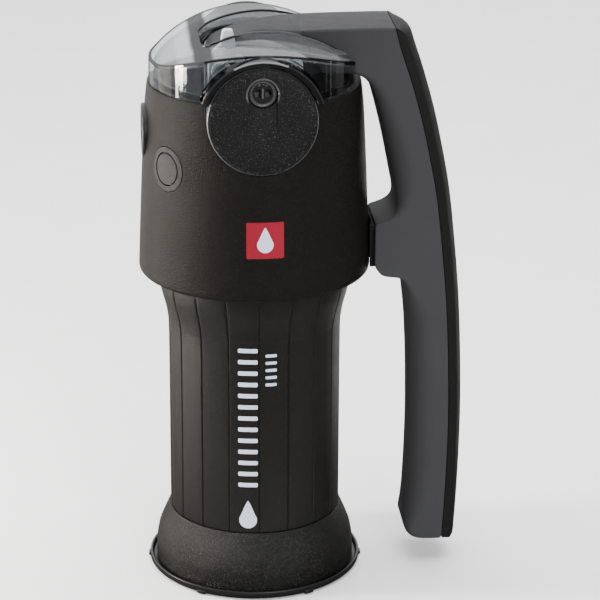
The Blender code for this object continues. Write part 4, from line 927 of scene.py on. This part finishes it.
# ---- the other turned pieces --------------------------------------------------------------------------------
FINE = {
    "adapter_gasket": ("adapter", "seal", "seal_rubber", [(24.6, 9.9), (30.2, 9.9), (30.2, 10.9), (24.6, 10.9)], (0, 0, 0), (0, 0, 1), 120, 0.3),
    "outlet_nozzle": (
        "adapter", "satin", "black_satin",
        [(1.6, 3.4), (2.4, 3.4), (3.2, 5.2), (2.6, 5.2), (3.2, 7.0), (2.6, 7.0), (2.6, 9.9), (7.0, 9.9), (7.0, 11.8), (2.6, 11.8), (2.6, 14.2), (1.6, 14.2)],
        (0, 0, 0), (0, 0, 1), 64, 0.15),
    "housing_oring": ("pump_body", "seal", "seal_rubber", [(29.7, 112.2), (31.2, 112.2), (31.2, 113.3), (29.7, 113.3)], (0, 0, 0), (0, 0, 1), 120, 0.5),
    "cartridge_bottom_cap": (
        "filter_body", "white", "white_acetal", [(2.0, 15.3), (3.8, 15.3), (3.8, 20.2), (25.4, 20.2), (25.4, 25.5), (24.6, 25.5), (24.6, 22.2), (2.0, 22.2)],
        (0, 0, 0), (0, 0, 1), 96, 0.3),
    "cartridge_oring": ("filter_body", "seal", "seal_rubber", [(4.1, 18.0), (6.6, 18.0), (7.0, 18.9), (6.6, 19.8), (4.1, 19.8)], (0, 0, 0), (0, 0, 1), 64, 0.8),
    "carbon_core": ("filter_body", "carbon", "carbon", [(4.0, 22.6), (14.2, 22.6), (14.2, 87.1), (4.0, 87.1)], (0, 0, 0), (0, 0, 1), 96, 0.5),
    "cartridge_top_cap": (
        "filter_body", "white", "white_acetal",
        [(0, 87.5), (24.6, 87.5), (24.6, 84.2), (25.4, 84.2), (25.4, 89.2), (9.0, 89.2), (9.0, 91.6), (7.4, 91.6), (7.4, 89.2), (0, 89.2)],
        (0, 0, 0), (0, 0, 1), 96, 0.3),
    "prefilter_carrier": (
        "filter_body", "block", "handle_grey", [(10.0, 92.0), (25.2, 92.0), (28.6, 99.6), (28.6, 102.0), (27.4, 102.0), (27.4, 99.9), (24.2, 93.4), (10.0, 93.4)],
        (0, 0, 0), (0, 0, 1), 96, 0.3),
    "ceramic_disc": ("filter_body", "ceramic", "ceramic", [(6.0, 93.8), (22.8, 93.8), (23.6, 94.8), (25.2, 98.2), (25.2, 99.4), (6.0, 99.4)], (0, 0, 0), (0, 0, 1), 96, 0.4),
    "pivot_axle": (
        "pump_body", "steel", "steel", [(0, -30.5), (AXLE_R - 0.3, -30.5), (AXLE_R, -30.2), (AXLE_R, 30.2), (AXLE_R - 0.3, 30.5), (0, 30.5)],
        (0, 0, PIVOT_Z), (0, 1, 0), 64, 0.15),
    "rocker_bush": ("handle", "white", "white_acetal", [(2.85, -8.2), (3.9, -8.2), (3.9, 8.2), (2.85, 8.2)], (0, 0, PIVOT_Z), (0, 1, 0), 64, 0.2),
}
for name, sx in SIDE.items():
    pz, hz = PIN_Z[name], PIN_Z[name] - 45.6
    FINE["piston_pin_" + name] = (
        "handle", "steel" if name == "right" else "white", "steel" if name == "right" else "white_acetal",
        [(0, -11.9), (1.9, -11.9), (1.9, -11.3), (PIN_R, -11.3), (PIN_R, 11.4), (3.4, 11.4), (3.4, 12.3), (2.4, 12.5), (1.9, 12.0), (0, 12.0)],
        (sx * PIN_X, 0, pz), (0, -1, 0), 56, 0.2)
    FINE["pin_clip_" + name] = (
        "handle", "steel", "steel", [(2.1, 11.35), (3.3, 11.35), (3.3, 11.85), (2.1, 11.85)], (sx * PIN_X, 0, pz), (0, 1, 0), 48, 0.12)
    FINE["piston_head_" + name] = (
        "piston_" + name, "block", "block_grey",
        [(0, hz), (9.3, hz), (9.3, hz + 1.9), (8.0, hz + 1.9), (8.0, hz + 4.1), (9.3, hz + 4.1), (9.3, hz + 6.0), (3.9, hz + 6.0), (3.9, hz + 0.5), (0, hz + 0.5)],
        (sx * CYL_X, 0, 0), (0, 0, 1), 72, 0.25)
    FINE["piston_seal_" + name] = (
        "piston_" + name, "seal", "seal_rubber", [(8.25, hz + 2.2), (9.6, hz + 2.2), (9.8, hz + 3.0), (9.6, hz + 3.8), (8.25, hz + 3.8)],
        (sx * CYL_X, 0, 0), (0, 0, 1), 72, 0.3)
    FINE["rod_guide_" + name] = (
        "pump_body", "white", "white_acetal", [(3.85, 144.2), (9.7, 144.2), (9.7, 146.6), (3.85, 146.6)], (sx * CYL_X, 0, 0), (0, 0, 1), 72, 0.3)
    for kind, sy in (("inlet", -1), ("outlet", 1)):
        FINE[f"{kind}_valve_{name}"] = (
            "pump_body", "silicone", "valve_rubber",
            [(0, 113.0), (2.0, 113.0), (2.0, 113.9), (1.2, 114.4), (1.2, 117.9), (0, 117.9)] if kind == "inlet"
            else [(0, 111.8), (1.4, 111.8), (3.4, 114.2), (3.4, 115.2), (1.2, 115.5), (1.2, 117.9), (0, 117.9)],
            (sx * CYL_X, 4.6 * sy, 0), (0, 0, 1), 48, 0.15)
for name, (body, mat, slot, profile, loc, axis, steps, radius) in FINE.items():
    done(lathe(name + "_fine", profile, steps, loc, axis, radius), mat, body, slot, name)

SCREWS = {"front_left": (-1, -1), "front_right": (1, -1), "rear_left": (-1, 1), "rear_right": (1, 1)}
for name, (sx, sy) in SCREWS.items():
    screw = lathe(
        "block_screw_fine_" + name, [(0, 110.5), (1.3, 110.5), (1.3, 121.2), (2.6, 121.2), (2.6, 122.6), (1.9, 123.2), (0, 123.2)], 48,
        (24 * sx, 9 * sy, 0), radius=0.25,
    )
    combine(screw, lathe("socket", [(0, 121.9), (1.25, 121.9), (1.25, 125), (0, 125)], 6, (24 * sx, 9 * sy, 0)))
    done(screw, "steel", "pump_body", "steel", "block_screw_" + name)

pleats = []
for k in range(640):
    s = (k * 40 / 640) % 1.0
    r = 20.7 + 3.3 * math.cos(2 * math.pi * s) * (1.0 - 0.12 * math.cos(4 * math.pi * s)) / 0.88
    a = 2 * math.pi * k / 640
    pleats.append((r * math.cos(a), r * math.sin(a)))
bm = bmesh.new()
rows = [
    [bm.verts.new((x * MM, y * MM, z * MM)) for x, y in loop]
    for loop, z in ((pleats, 22.6), (pleats, 87.0), (arc(0, 0, 14.6, 0, 360 * 639 / 640, 639), 87.0), (arc(0, 0, 14.6, 0, 360 * 639 / 640, 639), 22.6))
]
for a, b in zip(rows, rows[1:] + rows[:1]):
    for i in range(640):
        j = (i + 1) % 640
        bm.faces.new((a[i], a[j], b[j], b[i]))
closed_up(bm)
done(add_mesh("pleated_filter_fine", bm, 50), "paper", "filter_body", "filter_media", "pleated_filter")

# ---- pump block, valve plate and yokes ---------------------------------------------------------------------
pump = outline(
    "pump_block_fine", [arc(CYL_X, 0, BORE_R + 1.9, -90, 90, 40) + arc(-CYL_X, 0, BORE_R + 1.9, 90, 270, 40)], (BLOCK_Z1 - BLOCK_Z0) / 2, "XY",
    (BLOCK_Z0 + BLOCK_Z1) / 2, 0.35,
)
union(pump, block("flange", (-27.5, -12.5, BLOCK_Z0), (27.5, 12.5, BLOCK_Z0 + 2.6), 0.4), solver="MANIFOLD")
for sign in (-1, 1):
    union(pump, outline("tower", [[(-6.5, BLOCK_Z0), (6.5, BLOCK_Z0)] + arc(0, PIVOT_Z, 6.5, 0, 180, 40)], 1.75, mid=sign * 16.75, ease=0.35), solver="MANIFOLD")
    low, high = sorted((sign * 9.0, sign * 16.0))
    union(pump, block("web", (-1.6, low, BLOCK_Z0 + 0.1), (1.6, high, BLOCK_Z1 - 0.6), 0.3), solver="MANIFOLD")
for name, sx in SIDE.items():
    combine(pump, tube("bore", BORE_R, 119.8, 160, (0, 0, 1), (sx * CYL_X, 0, 0), 96), solver="MANIFOLD")
    for sy in (-1, 1):
        combine(pump, tube("port", 1.5, 110, 125, (0, 0, 1), (sx * CYL_X, 4.6 * sy, 0), 24), solver="MANIFOLD")
combine(pump, tube("axle_bore", AXLE_R + 0.3, -30, 30, (0, 1, 0), (0, 0, PIVOT_Z), 48), solver="MANIFOLD")
for sx, sy in SCREWS.values():
    combine(pump, tube("hole", 1.6, 110, 125, (0, 0, 1), (24 * sx, 9 * sy, 0), 24), solver="MANIFOLD")
done(pump, "block", "pump_body", "block_grey", "pump_block")

plate = outline("valve_plate_fine", [arc(CYL_X, 0, 11.0, -90, 90, 40) + arc(-CYL_X, 0, 11.0, 90, 270, 40)], 0.95, "XY", 116.75, 0.2)
for sx in SIDE.values():
    for sy in (-1, 1):
        combine(plate, tube("seat", 1.7, 110, 120, (0, 0, 1), (sx * CYL_X, 4.6 * sy, 0), 24), solver="MANIFOLD")
done(plate, "white", "pump_body", "white_acetal", "valve_plate")

for name, sx in SIDE.items():
    pz = PIN_Z[name]
    z0, z1, top, out, inn = pz - 17.8, pz - 13.8, pz + 5.0, sx * (15.5 if name == "left" else 14.9), sx * 3.7
    cheek = [(inn, z0), (out, z0), (out, top - 2.0), (out - sx * 0.5, top - 0.7), (out - sx * 1.6, top), (inn + sx * 1.2, top), (inn, top - 1.2)]
    slot = arc(sx * (PIN_X - 0.05), pz, 2.8, -90 if sx > 0 else 90, 90 if sx > 0 else 270, 20) + arc(sx * 7.75, pz, 2.8, 90 if sx > 0 else 270, 270 if sx > 0 else 450, 20)
    yoke = outline("piston_yoke_fine_" + name, [cheek, slot], 11.0, ease=0.45)
    low, high = sorted((out, inn))
    combine(yoke, block("gap", (low - 5, -8.4, z1), (high + 5, 8.4, 195)), solver="MANIFOLD")
    if name == "left":
        lug = cat([(-14.9, 178.4), (-14.3, 180.4), (-13.6, 181.9), (-12.8, 182.8), (-11.7, 183.5)], 14) + cat([(-11.4, 184.6), (-11.2, 186.0), (-10.8, 187.9), (-10.2, 188.45)], 12)
        lug += cat([(-9.6, 188.5), (-8.1, 188.45), (-7.5, 187.8), (-6.9, 185.0), (-6.6, 182.0), (-6.4, 178.4)], 16)
        union(yoke, outline("lug", [lug], 1.2, mid=-9.7, ease=0.45), solver="MANIFOLD")
    union(yoke, tube("rod", 3.5, pz - 44.9, z0 + 1.0, (0, 0, 1), (sx * CYL_X, 0, 0), 64), solver="MANIFOLD")
    done(yoke, "white", "piston_" + name, "white_acetal", "piston_yoke_" + name)


# ---- plain printed marks ---------------------------------------------------------------------------------------
def patch(name, shape, surface, lift, mat, body, slot, rings=6):
    """A thin printed patch: shape is a convex-ish outline of (arc length, z), surface(z) its radius."""
    cu = sum(p[0] for p in shape) / len(shape)
    cz = sum(p[1] for p in shape) / len(shape)
    bm = bmesh.new()
    layers = []
    for up in (0.0, 0.05):
        rows = []
        for k in range(rings, 0, -1):
            row = []
            for u, z in shape:
                u, z = cu + (u - cu) * k / rings, cz + (z - cz) * k / rings
                r = surface(z) + lift + up
                a = u / surface(z)
                row.append(bm.verts.new((r * math.sin(a) * MM, -r * math.cos(a) * MM, z * MM)))
            rows.append(row)
        r = surface(cz) + lift + up
        rows.append([bm.verts.new((r * math.sin(cu / surface(cz)) * MM, -r * math.cos(cu / surface(cz)) * MM, cz * MM))])
        layers.append(rows)
    n = len(shape)
    for rows in layers:
        for a, b in zip(rows, rows[1:]):
            for i in range(n):
                j = (i + 1) % n
                bm.faces.new((a[i], a[j], b[j], b[i]) if len(b) > 1 else (a[i], a[j], b[0]))
    for i in range(n):
        j = (i + 1) % n
        bm.faces.new((layers[0][0][i], layers[0][0][j], layers[1][0][j], layers[1][0][i]))
    closed_up(bm)
    obj = add_mesh(name, bm, 40)
    return done(obj, mat, body, slot)


def plate_shape(u0, u1, z0, z1, r, n=5):
    """A rectangle with rounded corners, with points along its edges."""
    corners = arc(u1 - r, z1 - r, r, 0, 90, n) + arc(u0 + r, z1 - r, r, 90, 180, n) + arc(u0 + r, z0 + r, r, 180, 270, n) + arc(u1 - r, z0 + r, r, 270, 360, n)
    return even(corners + [corners[0]], 0.35)[:-1]


def drop_shape(u, z, width, height):
    """A plain water drop, point up."""
    r = width / 2
    tip = z + height
    side = [(u + r * math.cos(math.radians(a)), z + r + r * math.sin(math.radians(a))) for a in range(-90, 21, 10)]
    rise = cat([side[-1], (u + r * 0.72, z + r + height * 0.24), (u + r * 0.3, z + height * 0.84), (u, tip)], 10)[1:]
    right = side + rise
    return right + [(2 * u - a, b) for a, b in reversed(right[1:-1])]


def housing_r(z):
    return radius_at(z)


def fluted_r(z):
    for (r0, z0), (r1, z1) in zip(wall, wall[1:]):
        if z0 <= z <= z1:
            return r0 + (r1 - r0) * (z - z0) / (z1 - z0)
    return FLUTED_R


label_u = 37.2 * math.radians(1.0)
patch("label_ground", plate_shape(label_u - 6.0, label_u + 6.0, 120.75, 132.65, 0.35), housing_r, 0.02, "red", "pump_body", "black_grained", 12)
patch("label_drop", drop_shape(label_u, 122.7, 5.2, 8.4), housing_r, 0.085, "print", "pump_body", "white_acetal", 6)
u0, u1 = FLUTED_R * math.radians(-15.3), FLUTED_R * math.radians(-2.05)
patch("mark_drop", drop_shape((u0 + u1) / 2, 22.9, 5.9, 10.0), fluted_r, 0.02, "print", "filter_body", "white_acetal", 6)
bars = 13
for k in range(bars):
    z = 36.6 + (88.0 - 36.6) * (k + 0.5) / bars
    patch(f"mark_bar_{k:02d}", plate_shape(u0 + 0.1, u1 - 0.1, z - 0.72, z + 0.72, 0.3), fluted_r, 0.02, "print", "filter_body", "white_acetal", 4)
u0, u1 = FLUTED_R * math.radians(2.9), FLUTED_R * math.radians(10.3)
for k in range(5):
    z = 72.8 + 12.6 * (k + 0.5) / 5
    patch(f"mark_dash_{k}", plate_shape(u0, u1, z - 0.5, z + 0.5, 0.22), fluted_r, 0.02, "print", "filter_body", "white_acetal", 4)

# ---- stage, lights and camera ------------------------------------------------------------------------------------
floor_mesh = bmesh.new()
bmesh.ops.create_grid(floor_mesh, x_segments=8, y_segments=8, size=4.0)
floor = add_mesh("floor", floor_mesh)
floor.location = (0, 0, -0.0002)
floor.data.materials.append(moulded("floor_paper", (0.84, 0.84, 0.84), 0.75, 300.0, 0.02, 0.05, 0.2, None, 0.3, (0.86, 0.86, 0.86)))
floor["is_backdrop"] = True


def card(name, x, y, shade):
    """A card over the floor that only mirror-like reflections meet, so that black plastic stays black."""
    mesh = bmesh.new()
    bmesh.ops.create_grid(mesh, x_segments=8, y_segments=8, size=0.5)
    for v in mesh.verts:
        v.co = (x[0] + (x[1] - x[0]) * (v.co.x + 0.5), y[0] + (y[1] - y[0]) * (v.co.y + 0.5), 0.0)
    obj = add_mesh(name, mesh)
    obj.location = (0, 0, -0.0001)
    obj.data.materials.append(moulded(name + "_felt", (shade, shade * 0.98, shade * 0.95), 0.9, 300.0, 0.02, 0.05, 0.1, None, 0.3))
    obj.visible_camera = obj.visible_shadow = obj.visible_diffuse = obj.visible_transmission = False
    obj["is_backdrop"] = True


card("card_front", (-3.0, 3.0), (-3.0, -0.42), 0.05)
card("card_under", (-0.25, 3.0), (-0.42, -0.078), 0.05)
card("card_middle", (-0.10, 0.10), (-0.05, 3.0), 0.06)
card("card_left", (-0.25, -0.10), (-0.05, 3.0), 0.20)
card("card_side", (0.10, 3.0), (-0.05, 0.06), 0.06)
card("card_right", (0.10, 3.0), (0.06, 3.0), 0.36)


def softbox(name, place, target, size, power, colour=(1, 1, 1)):
    light = bpy.data.lights.new(name, "AREA")
    light.shape = "RECTANGLE"
    light.size, light.size_y = size
    light.energy = power
    light.color = colour
    obj = bpy.data.objects.new(name, light)
    bpy.context.scene.collection.objects.link(obj)
    obj.location = place
    obj.rotation_euler = (Vector(target) - Vector(place)).to_track_quat("-Z", "Y").to_euler()
    obj.visible_camera = False
    return obj


softbox("overhead", (0.05, 0.05, 1.15), (0.02, 0.0, 0.0), (1.4, 1.4), 32.0)
softbox("left_strip", (-0.418, 0.022, 0.25), (0.0, 0.0, 0.12), (0.035, 0.50), 3.4)
softbox("left_back", (-0.46, 0.22, 0.23), (0.0, 0.0, 0.08), (0.26, 0.44), 1.2, (1.0, 0.88, 0.74))
softbox("left_low", (-0.50, 0.00, 0.10), (0.0, 0.0, 0.01), (0.10, 0.10), 3.4, (1.0, 0.90, 0.78))
softbox("behind", (0.0, 1.35, 0.90), (0.0, 0.0, 0.15), (3.0, 1.5), 28.0)
softbox("front_fill", (0.40, -1.5, 0.70), (0.0, 0.0, 0.1), (0.8, 0.8), 28.0)

world = bpy.data.worlds.new("studio")
world.use_nodes = True
world.node_tree.nodes["Background"].inputs["Color"].default_value = (0.95, 0.97, 1.0, 1.0)
world.node_tree.nodes["Background"].inputs["Strength"].default_value = 0.55
bpy.context.scene.world = world

camera_data = bpy.data.cameras.new("camera")
camera_data.lens = 164.5
camera_data.sensor_width = 36.0
camera = bpy.data.objects.new("camera", camera_data)
bpy.context.scene.collection.objects.link(camera)
CAMERA_AT, CAMERA_TO = Vector((-65.27, -851.91, 410.41)) * MM, Vector((15.12, -1.43, 93.10)) * MM
camera.location = CAMERA_AT
look = (CAMERA_TO - CAMERA_AT).to_track_quat("-Z", "Y").to_matrix()
camera.rotation_euler = (look @ Matrix.Rotation(0.005, 3, "Z")).to_euler()
bpy.context.scene.camera = camera

low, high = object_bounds()
